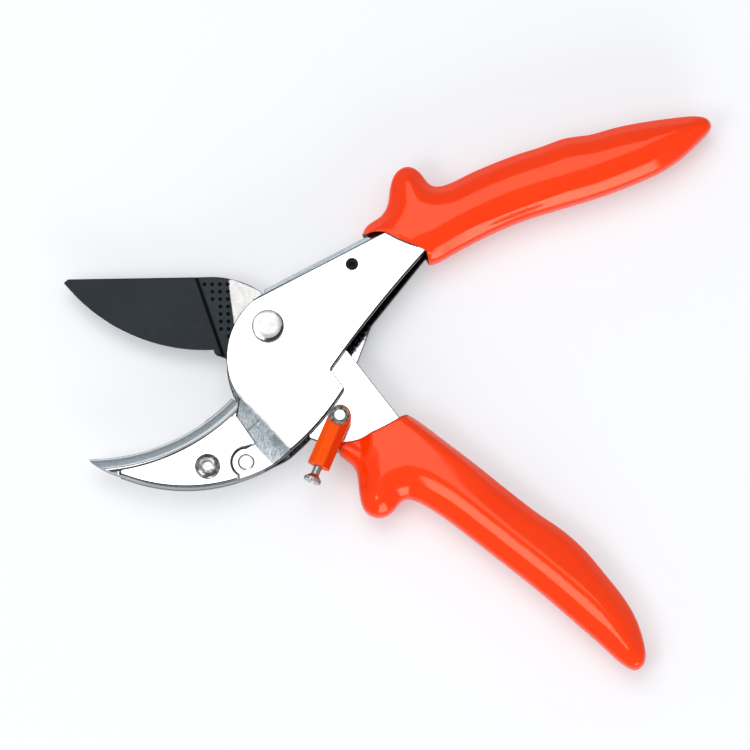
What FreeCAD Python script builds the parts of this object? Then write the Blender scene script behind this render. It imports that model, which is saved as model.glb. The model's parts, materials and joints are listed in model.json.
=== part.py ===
import FreeCAD, Part
import math
import os
import Sketcher

# Grafting pruner with two hand grips, in millimetres, at the opening shown in the photograph.
# The origin is on the pivot axis at the plane that the tool lies on. X runs from the jaws towards
# the grips, Y towards the upper grip, and Z towards the viewer. The frame is a folded steel channel
# that carries the hook and the upper grip. The lever is a smaller channel between its two plates,
# and carries the blade, the latch and the lower grip.

SIZES = {
    "blade_reach": 63.3,
    "blade_thickness": 3.0,
    "blade_bevel": 6.0,
    "blade_edge_land": 0.4,
    "hub_radius": 8.4,
    "dimple_radius": 0.5,
    "dimple_depth": 0.25,
    "dimple_pitch": 2.3,
    "groove_width": 0.8,
    "head_reach": 67.2,
    "hook_thickness": 2.9,
    "hook_bevel": 3.7,
    "hook_edge_land": 0.3,
    "tang_thickness": 1.1,
    "cover_thickness": 1.4,
    "shear_gap": 0.1,
    "seam": 0.3,
    "sheet": 1.8,
    "spine_angle": 28.0,
    "spine_chamfer": 1.7,
    "joggle_angle": 223.0,
    "lever_sheet": 1.7,
    "lever_hub_radius": 8.2,
    "spacer_thickness": 2.3,
    "spacer_radius": 8.0,
    "washer": 0.45,
    "washer_radius": 7.5,
    "running_gap": 0.05,
    "nut_height": 1.7,
    "nut_corner_radius": 7.2,
    "bolt_radius": 4.0,
    "bolt_end_radius": 2.8,
    "bolt_end_height": 0.3,
    "bolt_head_radius": 4.8,
    "bolt_head_height": 1.8,
    "bolt_head_rim": 1.3,
    "fit": 0.05,
    "rivet_radius": 2.3,
    "rivet_rim": 0.1,
    "blade_rivet_radius": 1.6,
    "hook_screw_radius": 1.75,
    "hook_screw_head_radius": 3.8,
    "hook_screw_head_height": 1.3,
    "hook_screw_socket_radius": 1.5,
    "hook_screw_socket_depth": 0.8,
    "hook_nut_height": 2.0,
    "hook_nut_corner_radius": 3.6,
    "pin_radius": 1.65,
    "pin_bore": 0.8,
    "spring_strip": 1.0,
    "spring_width": 5.0,
    "latch_angle": 247.0,
    "latch_width": 6.8,
    "latch_height": 5.5,
    "latch_length": 16.3,
    "latch_chamfer": 1.8,
    "latch_collar": 1.3,
    "latch_gap": 0.1,
    "stud_radius": 1.6,
    "stud_proud": 0.3,
    "stud_head_radius": 2.2,
    "stud_head_height": 0.8,
    "collar_radius": 3.2,
    "latch_ring_radius": 2.85,
    "latch_ring_height": 0.4,
    "latch_screw_radius": 1.25,
    "latch_screw_in": 9.5,
    "latch_screw_out": 2.7,
    "latch_screw_spare": 3.0,
    "latch_screw_head_radius": 2.7,
    "latch_screw_head_height": 2.4,
    "latch_screw_slot": 0.8,
    "grip_thickness": 15.0,
    "grip_reach": 147.8,
    "grip_round": 6.2,
    "grip_angle": 20.5,
    "low_grip_reach": 152.7,
    "low_grip_round": 6.2,
    "low_grip_angle": -40.4,
    "nose_height": 12.3,
    "overrun": 30.0,
}

doc = FreeCAD.newDocument("grafting_pruner")
sheet = doc.addObject("Spreadsheet::Sheet", "Sizes")
for row, (alias, number) in enumerate(SIZES.items(), start=1):
    sheet.set(f"A{row}", alias)
    sheet.set(f"B{row}", str(number))
    sheet.setAlias(f"B{row}", alias)
doc.recompute()


def value(expression):
    """The number that an expression on the sheet gives."""
    return float(sheet.evalExpression(expression))


def at(size, x_share, y_share):
    """A point seen from the pivot, as shares of one size."""
    return f"Sizes.{size} * {x_share}", f"Sizes.{size} * {y_share}"


def polar(size, degrees, centre=("0", "0")):
    """A point at a named radius and an angle about a centre."""
    return (
        f"{centre[0]} + Sizes.{size} * cos({degrees})",
        f"{centre[1]} + Sizes.{size} * sin({degrees})",
    )


def moved(point, size, x_share, y_share):
    """A point moved by shares of one size."""
    return (
        f"{point[0]} + Sizes.{size} * {x_share}",
        f"{point[1]} + Sizes.{size} * {y_share}",
    )


def beside_spine(along, away):
    """A point of the frame's straight spine: along it, and away from the pivot square to it."""
    turn = "Sizes.spine_angle"
    return (
        f"({along}) * cos({turn}) - ({away}) * sin({turn})",
        f"({along}) * sin({turn}) + ({away}) * cos({turn})",
    )


def line(point):
    """A straight step of an outline, from the point before it."""
    return None, point


def arc(via, point):
    """A round step of an outline, from the point before it."""
    return via, point


def vector(point):
    return FreeCAD.Vector(value(point[0]), value(point[1]), 0)


def bind(sketch, geometry, end, point):
    """Ties a point of a sketch to the sheet."""
    for kind, expression in zip(("DistanceX", "DistanceY"), point):
        tie = Sketcher.Constraint(kind, -1, 1, geometry, end, value(expression))
        index = sketch.addConstraint(tie)
        sketch.setExpression(f"Constraints[{index}]", expression)


def draw_outline(sketch, path):
    """Draws a closed outline. Each step leads from the point before it, and the first from the last."""
    corners = []
    for index, (via, point) in enumerate(path):
        start = vector(path[index - 1][1])
        if via is None:
            corners.append((sketch.addGeometry(Part.LineSegment(start, vector(point))), 1, 2))
            continue
        curve = sketch.addGeometry(Part.Arc(start, vector(via), vector(point)))
        to_first = sketch.getPoint(curve, 1).sub(start).Length
        to_second = sketch.getPoint(curve, 2).sub(start).Length
        corners.append((curve, 1, 2) if to_first < to_second else (curve, 2, 1))
        middle = sketch.addGeometry(Part.Point(vector(via)), True)
        bind(sketch, middle, 1, via)
        sketch.addConstraint(Sketcher.Constraint("PointOnObject", middle, 1, curve))
    for index, (curve, begins, ends) in enumerate(corners):
        before = corners[index - 1]
        sketch.addConstraint(Sketcher.Constraint("Coincident", before[0], before[2], curve, begins))
        bind(sketch, curve, ends, path[index][1])


def draw_circle(sketch, centre, radius):
    circle = Part.Circle(vector(centre), FreeCAD.Vector(0, 0, 1), value(radius))
    index = sketch.addGeometry(circle)
    bind(sketch, index, 3, centre)
    tie = sketch.addConstraint(Sketcher.Constraint("Radius", index, value(radius)))
    sketch.setExpression(f"Constraints[{tie}]", radius)


def new_sketch(body, name, role, bottom="0"):
    """A sketch on one of the body's own planes, raised along the plane's normal."""
    sketch = body.newObject("Sketcher::SketchObject", name)
    plane = next(o for o in body.Origin.OriginFeatures if o.Role == role)
    sketch.AttachmentSupport = [(plane, "")]
    sketch.MapMode = "FlatFace"
    sketch.setExpression("AttachmentOffset.Base.z", bottom)
    return sketch


def slab(name, path, bottom, height, holes=()):
    """A flat piece: its outline, with round holes, padded upwards."""
    body = doc.addObject("PartDesign::Body", name)
    sketch = new_sketch(body, name + "_outline", "XY_Plane", bottom)
    if path:
        draw_outline(sketch, path)
    for centre, radius in holes:
        draw_circle(sketch, centre, radius)
    pad = body.newObject("PartDesign::Pad", name + "_pad")
    pad.Profile = sketch
    pad.setExpression("Length", height)
    return body


def turned(name, profile, centre=("0", "0")):
    """A round piece: its half section, in radius and height, turned about the upright axis."""
    body = doc.addObject("PartDesign::Body", name)
    sketch = new_sketch(body, name + "_section", "XZ_Plane")
    draw_outline(sketch, profile)
    turn = body.newObject("PartDesign::Revolution", name + "_turn")
    turn.Profile = sketch
    turn.ReferenceAxis = (sketch, ["V_Axis"])
    turn.Angle = 360
    body.setExpression("Placement.Base.x", centre[0])
    body.setExpression("Placement.Base.y", centre[1])
    return body


def cut(name, base, tool):
    made = doc.addObject("Part::Cut", name)
    made.Base = base
    made.Tool = tool
    return made


def cut_all(name, base, tools):
    """Cuts several tools, one after the other. The last cut has the name."""
    for index, tool in enumerate(tools):
        last = index == len(tools) - 1
        base = cut(name if last else f"{name}_cut_{index + 1}", base, tool)
    return base


def common(name, *shapes):
    made = doc.addObject("Part::MultiCommon", name)
    made.Shapes = list(shapes)
    return made


def fused(name, *shapes):
    made = doc.addObject("Part::MultiFuse", name)
    made.Shapes = list(shapes)
    made.Refine = True
    return made


def cylinder(name, centre, radius, bottom, height):
    made = doc.addObject("Part::Cylinder", name)
    made.setExpression("Placement.Base.x", centre[0])
    made.setExpression("Placement.Base.y", centre[1])
    made.setExpression("Placement.Base.z", bottom)
    made.setExpression("Radius", radius)
    made.setExpression("Height", height)
    return made


def cone(name, centre, low_radius, high_radius, bottom, height):
    made = doc.addObject("Part::Cone", name)
    made.setExpression("Placement.Base.x", centre[0])
    made.setExpression("Placement.Base.y", centre[1])
    made.setExpression("Placement.Base.z", bottom)
    made.setExpression("Radius1", low_radius)
    made.setExpression("Radius2", high_radius)
    made.setExpression("Height", height)
    return made


# Heights of the stack at the pivot, from the resting plane up
REAR = "Sizes.nut_height"
REAR_INSIDE = f"{REAR} + Sizes.sheet"
BLADE_BACK = f"{REAR_INSIDE} + Sizes.washer + Sizes.running_gap"
BLADE_FACE = f"{BLADE_BACK} + Sizes.blade_thickness"
FLANGE_BACK = f"{BLADE_FACE} + Sizes.spacer_thickness"
FLANGE_FACE = f"{FLANGE_BACK} + Sizes.lever_sheet"
FRONT_INSIDE = f"{FLANGE_FACE} + Sizes.running_gap + Sizes.washer"
FRONT = f"{FRONT_INSIDE} + Sizes.sheet"

# Height of the spring's rear edge, midway between the plates
SPRING_BACK = f"0.5 * ({REAR_INSIDE} + {FRONT_INSIDE}) - 0.5 * Sizes.spring_width"

# Heights at the hook, where both plates step towards each other
HOOK_BACK = f"{BLADE_FACE} + Sizes.shear_gap"
HOOK_FACE = f"{HOOK_BACK} + Sizes.hook_thickness"
RAISED = f"{HOOK_BACK} - Sizes.sheet"
TAB_INSIDE = f"{HOOK_BACK} + Sizes.tang_thickness"
TAB = f"{TAB_INSIDE} + Sizes.sheet"
COVER_FACE = f"{HOOK_FACE} + Sizes.cover_thickness"

# Heights of the latch on the lever
LATCH_BACK = f"{FLANGE_FACE} + Sizes.latch_collar + Sizes.latch_gap"
LATCH_FACE = f"{LATCH_BACK} + Sizes.latch_height"

# Axes of the fasteners
PIVOT = ("0", "0")
PIN = at("head_reach", 0.375, 0.286)
HOOK_SCREW = at("head_reach", -0.268, -0.634)
HOOK_RIVET = at("head_reach", -0.096, -0.61)
STUD = at("head_reach", 0.321, -0.423)
BLADE_RIVETS = (at("head_reach", 0.171, -0.119), at("head_reach", 0.141, -0.283))

# Centres and radii of the two cutting edges, which are round in plan
BLADE_EDGE_CENTRE = at("blade_reach", -0.3, 0.754)
BLADE_EDGE_RADIUS = "Sizes.blade_reach * 0.85"
HOOK_EDGE_CENTRE = at("head_reach", -0.798, 0.284)
HOOK_EDGE_RADIUS = "Sizes.head_reach * 0.872"

# The frame's spine, and the step of both plates towards the hook
SPINE_DISTANCE = "Sizes.head_reach * 0.162"
SPINE_START = "Sizes.head_reach * 0.073"
SPINE_END = "Sizes.head_reach * 0.714"
JOGGLE_START = "Sizes.head_reach * 0.3125"
JOGGLE_END = "Sizes.head_reach * 0.406"

# How many dents each row beside the blade's bare steel has, from the top down
DIMPLES_IN_ROWS = (4, 3, 3, 2, 2, 2, 2, 1)

# Where the lever's rear flange and web begin, clear of the blade
LEVER_STEP = "Sizes.head_reach * 0.283"

# Corners that several pieces share
PLATE_LEFT_TOP = at("head_reach", -0.02, 0.155)
PLATE_LEFT_LOW = at("head_reach", -0.127, -0.333)
PLATE_LEDGE = at("head_reach", 0.281, -0.195)
PLATE_LEDGE_LOW = at("head_reach", 0.342, -0.284)
PLATE_LEDGE_HIGH = at("head_reach", 0.461, 0.036)
PLATE_RIGHT = at("head_reach", 0.708, 0.35)
LEVER_EDGE = at("head_reach", 0.246, 0.01)
LEVER_EDGE_LOW = at("head_reach", 0.353, -0.101)
LEVER_CORNER = at("head_reach", 0.188, -0.504)
LEVER_NOSE = at("head_reach", 0.357, -0.565)
LEVER_BEND = at("head_reach", 0.491, -0.632)
LEVER_WAIST = at("low_grip_reach", 0.341, -0.337)
LEVER_END = at("low_grip_reach", 0.612, -0.553)
FRAME_WAIST = at("grip_reach", 0.379, 0.272)
FRAME_END = at("grip_reach", 0.744, 0.394)


def frame_outline():
    """The rear plate, which reaches under the whole hook."""
    return [
        line(beside_spine(SPINE_START, SPINE_DISTANCE)),
        line(PLATE_LEFT_TOP),
        arc(at("head_reach", -0.185, -0.141), PLATE_LEFT_LOW),
        line(at("head_reach", -0.153, -0.396)),
        arc(at("head_reach", -0.393, -0.568), at("head_reach", -0.646, -0.649)),
        arc(at("head_reach", -0.659, -0.662), at("head_reach", -0.646, -0.674)),
        arc(at("head_reach", -0.387, -0.728), at("head_reach", -0.128, -0.69)),
        arc(at("head_reach", -0.025, -0.649), at("head_reach", 0.08, -0.586)),
        arc(at("head_reach", 0.226, -0.443), PLATE_LEDGE_LOW),
        line(PLATE_LEDGE_HIGH),
        line(PLATE_RIGHT),
        line(at("grip_reach", 0.355, 0.188)),
        line(at("grip_reach", 0.758, 0.345)),
        line(FRAME_END),
        line(FRAME_WAIST),
        line(beside_spine(SPINE_END, SPINE_DISTANCE)),
    ]


def frame_hollow():
    """The space between the two plates. It stops at the spine's inner face."""
    inside = f"{SPINE_DISTANCE} - Sizes.sheet"
    return [
        line(beside_spine(SPINE_START, f"{SPINE_DISTANCE} + Sizes.overrun")),
        line(beside_spine(SPINE_START, inside)),
        line(beside_spine(SPINE_END, inside)),
        line(moved(FRAME_WAIST, "sheet", 0.36, -0.93)),
        line(moved(FRAME_END, "sheet", 0.32, -0.95)),
        line(at("grip_reach", 0.947, 0.46)),
        line(at("grip_reach", 0.947, 0.0)),
        line(at("grip_reach", 0.406, -0.541)),
        line(at("grip_reach", -0.541, -0.541)),
        line(at("grip_reach", -0.541, 0.271)),
    ]


def hook_side():
    """The front plate's edge beside the hook and its cover: the slope, then round the rivet."""
    return [
        line(PLATE_LEFT_LOW),
        line(at("head_reach", -0.14, -0.406)),
        line(at("head_reach", -0.06, -0.525)),
        line(at("head_reach", -0.096, -0.546)),
        arc(at("head_reach", -0.16, -0.61), at("head_reach", -0.128, -0.666)),
        line(at("head_reach", -0.128, -0.893)),
    ]


def joggled(name, low, low_step, high_step, high):
    """A block whose under and upper sides both step towards each other at the hook."""
    reach = "1.4 * Sizes.grip_reach"
    body = slab(
        name,
        [
            line((f"-({reach})", low)),
            line((JOGGLE_START, low)),
            line((JOGGLE_END, low_step)),
            line((reach, low_step)),
            line((reach, high_step)),
            line((JOGGLE_END, high_step)),
            line((JOGGLE_START, high)),
            line((f"-({reach})", high)),
        ],
        f"-({reach})",
        f"2 * {reach}",
    )
    upright = FreeCAD.Rotation(FreeCAD.Vector(1, 0, 0), 90)
    along = FreeCAD.Rotation(FreeCAD.Vector(0, 0, 1), value("Sizes.joggle_angle"))
    body.Placement = FreeCAD.Placement(FreeCAD.Vector(0, 0, 0), along.multiply(upright))
    return body


def spine_chamfer(name, height):
    """A bar on edge that takes the sharp corner off the fold of the channel."""
    side = value("Sizes.spine_chamfer") * 2 ** 0.5
    bar = doc.addObject("Part::Box", name)
    bar.setExpression("Length", SPINE_END)
    bar.Width = side
    bar.Height = side
    corner = vector(beside_spine("0", SPINE_DISTANCE))
    corner.z = value(height) - value("Sizes.spine_chamfer")
    lying = FreeCAD.Rotation(FreeCAD.Vector(0, 0, 1), value("Sizes.spine_angle"))
    tilted = FreeCAD.Rotation(FreeCAD.Vector(1, 0, 0), 45)
    bar.Placement = FreeCAD.Placement(corner, lying.multiply(tilted))
    return bar


def frame_channel():
    tall = "2 * Sizes.grip_thickness"
    outside = common(
        "frame_outside",
        slab("frame_block", frame_outline(), "0", tall),
        joggled("frame_skin", REAR, RAISED, TAB, FRONT),
    )
    inside = common(
        "frame_inside",
        slab("frame_hollow", frame_hollow(), "0", tall),
        joggled("frame_core", REAR_INSIDE, HOOK_BACK, TAB_INSIDE, FRONT_INSIDE),
    )
    ledge = slab(
        "ledge_cut",
        [
            arc(at("head_reach", 0.486, 0.084), PLATE_LEDGE),
            line(PLATE_LEDGE_LOW),
            line(at("head_reach", 0.744, -0.284)),
            line(PLATE_RIGHT),
        ],
        BLADE_FACE,
        tall,
    )
    hook_room = slab(
        "hook_room",
        hook_side() + [line(at("head_reach", -1.19, -0.893)), line(at("head_reach", -1.19, -0.312))],
        HOOK_BACK,
        tall,
    )
    bores = [
        cylinder("frame_pivot_bore", PIVOT, "Sizes.bolt_radius + Sizes.fit", "0", tall),
        cylinder("frame_pin_bore", PIN, "Sizes.pin_radius", "0", tall),
        cylinder("frame_rivet_bore", HOOK_RIVET, "Sizes.rivet_radius", "0", tall),
        cylinder("frame_screw_bore", HOOK_SCREW, "Sizes.hook_screw_radius + Sizes.fit", "0", tall),
    ]
    corners = [spine_chamfer("front_chamfer", FRONT), spine_chamfer("rear_chamfer", REAR)]
    return cut_all("frame_channel", outside, [inside, ledge, hook_room] + corners + bores)


# Sections of each grip across its axis, as shares of its reach: place along the axis, lower side,
# upper side. The last number is the share of the thickness lost above and below near the tip.
UPPER_GRIP_SHARES = [
    (0.23, 0.02, 0.125, 0.0),
    (0.266, 0.02, 0.133, 0.0),
    (0.302, 0.019, 0.141, 0.0),
    (0.32, 0.018, 0.159, 0.0),
    (0.334, 0.018, 0.189, 0.0),
    (0.355, 0.018, 0.212, 0.0),
    (0.376, 0.022, 0.214, 0.0),
    (0.396, 0.026, 0.196, 0.0),
    (0.412, 0.03, 0.168, 0.0),
    (0.43, 0.033, 0.155, 0.0),
    (0.46, 0.035, 0.154, 0.0),
    (0.547, 0.037, 0.16, 0.0),
    (0.656, 0.034, 0.157, 0.0),
    (0.698, 0.032, 0.158, 0.0),
    (0.837, 0.034, 0.137, 0.0),
    (0.9, 0.043, 0.128, 0.0),
    (0.937, 0.052, 0.123, 0.006),
    (0.969, 0.064, 0.116, 0.04),
    (0.989, 0.074, 0.107, 0.12),
    (0.997, 0.083, 0.099, 0.2),
]
LOWER_GRIP_SHARES = [
    (0.236, -0.102, 0.046, 0.0),
    (0.269, -0.1, 0.046, 0.0),
    (0.295, -0.093, 0.046, 0.0),
    (0.316, -0.097, 0.046, 0.0),
    (0.337, -0.115, 0.046, 0.0),
    (0.354, -0.132, 0.047, 0.0),
    (0.377, -0.145, 0.048, 0.0),
    (0.396, -0.144, 0.05, 0.0),
    (0.412, -0.127, 0.051, 0.0),
    (0.423, -0.098, 0.052, 0.0),
    (0.435, -0.076, 0.052, 0.0),
    (0.457, -0.063, 0.053, 0.0),
    (0.513, -0.058, 0.056, 0.0),
    (0.593, -0.062, 0.058, 0.0),
    (0.703, -0.063, 0.062, 0.0),
    (0.756, -0.062, 0.061, 0.0),
    (0.819, -0.06, 0.055, 0.0),
    (0.888, -0.058, 0.041, 0.0),
    (0.939, -0.058, 0.016, 0.006),
    (0.971, -0.056, -0.007, 0.04),
    (0.989, -0.052, -0.024, 0.12),
    (0.997, -0.046, -0.033, 0.2),
]


def between(share, before, here, after, later):
    """A section's numbers at a share of the way from one row to the next, on a smooth curve."""
    made = []
    for first, start, end, last in zip(before, here, after, later):
        straight = start * (1 - share) ** 2 * (1 + 2 * share) + end * share ** 2 * (3 - 2 * share)
        leaving = 0.5 * (end - first) * share * (1 - share) ** 2
        arriving = 0.5 * (last - start) * share ** 2 * (1 - share)
        made.append(start if start == end else straight + leaving - arriving)
    return made


def finer(table, steps):
    """The table of a grip's sections with more rows between its own."""
    rows = []
    for index in range(len(table) - 1):
        before, later = table[max(index - 1, 0)], table[min(index + 2, len(table) - 1)]
        for step in range(steps):
            rows.append(between(step / steps, before, table[index], table[index + 1], later))
    return rows + [table[-1]]


def grip_section(reach, shares, angle, corner):
    """A section across a grip: a rectangle with round corners, upright on the grip's axis."""
    along, low, high, slim = shares
    thickness = value("Sizes.grip_thickness")
    turn = FreeCAD.Rotation(FreeCAD.Vector(0, 0, 1), angle)
    low, high = low * reach, high * reach
    under, over = slim * thickness, (1 - slim) * thickness
    corner = min(corner, 0.45 * (high - low), 0.45 * (over - under))
    back = corner * (1 - 0.5 ** 0.5)

    def place(across, height):
        return turn.multVec(FreeCAD.Vector(along * reach, across, height))

    edges = []
    quarters = [
        ((low, under), (1, 0), (0, 1)),
        ((high, under), (0, 1), (-1, 0)),
        ((high, over), (-1, 0), (0, -1)),
        ((low, over), (0, -1), (1, 0)),
    ]
    ends = []
    for (x, z), ahead, behind in quarters:
        arrive = place(x + corner * behind[0], z + corner * behind[1])
        via = place(x + back * (ahead[0] + behind[0]), z + back * (ahead[1] + behind[1]))
        leave = place(x + corner * ahead[0], z + corner * ahead[1])
        ends.append((arrive, via, leave))
    for index, (arrive, via, leave) in enumerate(ends):
        edges.append(Part.Arc(arrive, via, leave).toShape())
        edges.append(Part.LineSegment(leave, ends[(index + 1) % len(ends)][0]).toShape())
    return Part.Wire(edges)


def grip(name, reach, shares, angle, corner, rooms):
    """A moulded grip: a loft through many close sections, with the given rooms cut out of it."""
    doc.recompute()
    sizes = [value(reach), value(angle), value(corner)]
    sections = [grip_section(sizes[0], row, sizes[1], sizes[2]) for row in finer(shares, 3)]
    loft = Part.makeLoft(sections, True, True)
    made = doc.addObject("Part::Feature", name)
    made.Shape = loft.cut([room.Shape for room in rooms]).Solids[0]
    return made


def upper_grip(channel_block):
    front_room = slab(
        "upper_front_room",
        [
            line(at("grip_reach", 0.321, 0.034)),
            line(at("grip_reach", 0.321, 0.162)),
            line(at("grip_reach", 0.23, 0.201)),
            arc(at("grip_reach", 0.21, 0.206), at("grip_reach", 0.189, 0.206)),
            line(at("grip_reach", 0.034, 0.206)),
            line(at("grip_reach", 0.034, 0.034)),
        ],
        "-Sizes.grip_thickness",
        "3 * Sizes.grip_thickness",
    )
    return grip(
        "upper_grip",
        "Sizes.grip_reach",
        UPPER_GRIP_SHARES,
        "Sizes.grip_angle",
        "Sizes.grip_round",
        [front_room, channel_block],
    )


def lower_grip(channel_block):
    front_room = slab(
        "lower_front_room",
        [
            line(at("head_reach", 0.318, -0.893)),
            line(at("head_reach", 0.318, -0.533)),
            arc(at("head_reach", 0.464, -0.484), at("head_reach", 0.604, -0.408)),
            line(at("head_reach", 0.634, -0.387)),
            line(at("head_reach", 0.893, -0.074)),
            line(at("head_reach", 0.0, -0.074)),
            line(at("head_reach", 0.0, -0.893)),
        ],
        "-Sizes.grip_thickness",
        "3 * Sizes.grip_thickness",
    )
    nose_room = slab(
        "nose_room",
        [
            line(at("head_reach", 0.439, -0.417)),
            line(at("head_reach", 0.421, -0.655)),
            line(at("head_reach", 0.387, -0.923)),
            line(at("head_reach", 0.0, -0.923)),
            line(at("head_reach", 0.0, -0.417)),
        ],
        "Sizes.nose_height",
        "Sizes.grip_thickness",
    )
    return grip(
        "lower_grip",
        "Sizes.low_grip_reach",
        LOWER_GRIP_SHARES,
        "Sizes.low_grip_angle",
        "Sizes.low_grip_round",
        [front_room, nose_room, channel_block],
    )


def cutting_blade():
    outline = [
        arc(at("blade_reach", -0.632, -0.028), at("blade_reach", -0.972, 0.234)),
        line(at("blade_reach", -0.951, 0.253)),
        line(at("blade_reach", -0.299, 0.264)),
        arc(at("blade_reach", -0.158, 0.25), at("blade_reach", -0.032, 0.191)),
        line(polar("hub_radius", 101)),
        arc(polar("hub_radius", 70), polar("hub_radius", 40)),
        line(at("head_reach", 0.26, -0.045)),
        line(at("head_reach", 0.26, -0.298)),
        line(at("head_reach", 0.149, -0.387)),
        line(at("head_reach", 0.03, -0.357)),
        line(at("head_reach", -0.089, -0.238)),
        line(at("blade_reach", -0.204, -0.122)),
        line(at("blade_reach", -0.243, -0.109)),
        line(at("blade_reach", -0.256, -0.096)),
    ]
    holes = [(PIVOT, "Sizes.bolt_radius + Sizes.fit")]
    holes += [(rivet, "Sizes.blade_rivet_radius") for rivet in BLADE_RIVETS]
    blank = slab("blade_blank", outline, BLADE_BACK, "Sizes.blade_thickness", holes)
    height = "Sizes.blade_thickness - Sizes.blade_edge_land"
    ring = cut(
        "blade_bevel_ring",
        cylinder(
            "blade_bevel_rim",
            BLADE_EDGE_CENTRE,
            f"{BLADE_EDGE_RADIUS} + Sizes.overrun",
            BLADE_BACK,
            height,
        ),
        cone(
            "blade_bevel_cone",
            BLADE_EDGE_CENTRE,
            f"{BLADE_EDGE_RADIUS} - Sizes.blade_bevel",
            BLADE_EDGE_RADIUS,
            BLADE_BACK,
            height,
        ),
    )
    front_part = slab(
        "blade_bevel_part",
        [
            line(at("blade_reach", -0.256, 0.316)),
            line(at("blade_reach", -1.422, 0.316)),
            line(at("blade_reach", -1.422, -0.316)),
            line(at("blade_reach", -0.256, -0.316)),
        ],
        BLADE_BACK,
        "Sizes.blade_thickness",
    )
    bevel = common("blade_bevel", ring, front_part)
    shallow = f"{BLADE_FACE} - Sizes.dimple_depth"
    groove = slab(
        "blade_groove",
        [
            line(at("blade_reach", -0.343, 0.284)),
            line(at("blade_reach", -0.193, -0.158)),
            line(moved(at("blade_reach", -0.193, -0.158), "groove_width", -1, 0)),
            line(moved(at("blade_reach", -0.343, 0.284), "groove_width", -1, 0)),
        ],
        shallow,
        "Sizes.blade_thickness",
    )
    return cut_all("cutting_blade", blank, [bevel, groove, blade_dimples(shallow)])


def blade_dimples(bottom):
    """Shallow round dents in rows that end at the bare steel and shorten along the groove."""
    last = at("blade_reach", -0.193, 0.229)
    dents = []
    for row_number, count in enumerate(DIMPLES_IN_ROWS):
        for back in range(count):
            centre = moved(last, "dimple_pitch", 0.03 * row_number - back, -row_number)
            dents.append((centre, "Sizes.dimple_radius"))
    return slab("blade_dimples", None, bottom, "Sizes.blade_thickness", dents)


def blade_spacer():
    outline = [
        arc(polar("spacer_radius", 125), polar("spacer_radius", 40)),
        line(at("head_reach", 0.231, -0.067)),
        line(at("head_reach", 0.231, -0.283)),
        line(at("head_reach", 0.141, -0.365)),
        line(at("head_reach", 0.045, -0.327)),
        line(at("head_reach", -0.067, -0.164)),
        line(polar("spacer_radius", 210)),
    ]
    holes = [(PIVOT, "Sizes.bolt_radius + Sizes.fit")]
    holes += [(rivet, "Sizes.blade_rivet_radius") for rivet in BLADE_RIVETS]
    return slab("blade_spacer", outline, BLADE_FACE, "Sizes.spacer_thickness", holes)


def blade_rivets():
    pieces = []
    for number, centre in enumerate(BLADE_RIVETS, start=1):
        length = f"{FLANGE_FACE} - ({BLADE_BACK})"
        pieces.append(
            cylinder(f"blade_rivet_{number}", centre, "Sizes.blade_rivet_radius", BLADE_BACK, length)
        )
    group = doc.addObject("Part::Compound", "blade_rivets")
    group.Links = pieces
    return group


def lever_outline():
    return [
        arc(polar("lever_hub_radius", 130), polar("lever_hub_radius", 41)),
        line(LEVER_EDGE),
        line(LEVER_EDGE_LOW),
        line(at("head_reach", 0.589, -0.412)),
        line(at("head_reach", 0.619, -0.455)),
        line(at("low_grip_reach", 0.648, -0.511)),
        line(LEVER_END),
        line(LEVER_WAIST),
        line(LEVER_BEND),
        line(LEVER_NOSE),
        line(LEVER_CORNER),
        line(polar("lever_hub_radius", 205)),
    ]


def lever_block(name, clearance="0"):
    return slab(
        name,
        lever_outline(),
        f"{BLADE_BACK} - {clearance}",
        f"{FLANGE_FACE} - ({BLADE_BACK}) + 2 * {clearance}",
    )


def lever_channel():
    block = lever_block("lever_block")
    hollow = slab(
        "lever_hollow",
        [
            line(moved(LEVER_CORNER, "lever_sheet", 0.34, 0.94)),
            line(moved(LEVER_NOSE, "lever_sheet", 0.39, 0.92)),
            line(moved(LEVER_BEND, "lever_sheet", 0.44, 0.9)),
            line(moved(LEVER_WAIST, "lever_sheet", 0.52, 0.85)),
            line(moved(LEVER_END, "lever_sheet", 0.62, 0.78)),
            line(at("low_grip_reach", 0.819, -0.733)),
            line(at("low_grip_reach", 0.851, -0.262)),
            line(at("low_grip_reach", 0.196, 0.164)),
            line(at("low_grip_reach", -0.131, 0.033)),
            line(at("low_grip_reach", -0.052, -0.157)),
        ],
        f"{BLADE_BACK} + Sizes.lever_sheet",
        f"{FLANGE_BACK} - ({BLADE_BACK}) - Sizes.lever_sheet",
    )
    blade_room = slab(
        "blade_room",
        [
            line((LEVER_STEP, "Sizes.overrun")),
            line(("-Sizes.overrun", "Sizes.overrun")),
            line(("-Sizes.overrun", "-2 * Sizes.overrun")),
            line((LEVER_STEP, "-2 * Sizes.overrun")),
        ],
        "0",
        FLANGE_BACK,
    )
    bores = [
        cylinder("lever_pivot_bore", PIVOT, "Sizes.bolt_radius + Sizes.fit", "0", "Sizes.grip_thickness"),
        cylinder("lever_stud_bore", STUD, "Sizes.stud_radius", FLANGE_BACK, "Sizes.grip_thickness"),
    ]
    for number, centre in enumerate(BLADE_RIVETS, start=1):
        bores.append(
            cylinder(
                f"lever_rivet_bore_{number}", centre, "Sizes.blade_rivet_radius", "0", "Sizes.grip_thickness"
            )
        )
    return cut_all("lever_channel", block, [hollow, blade_room] + bores)


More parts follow.
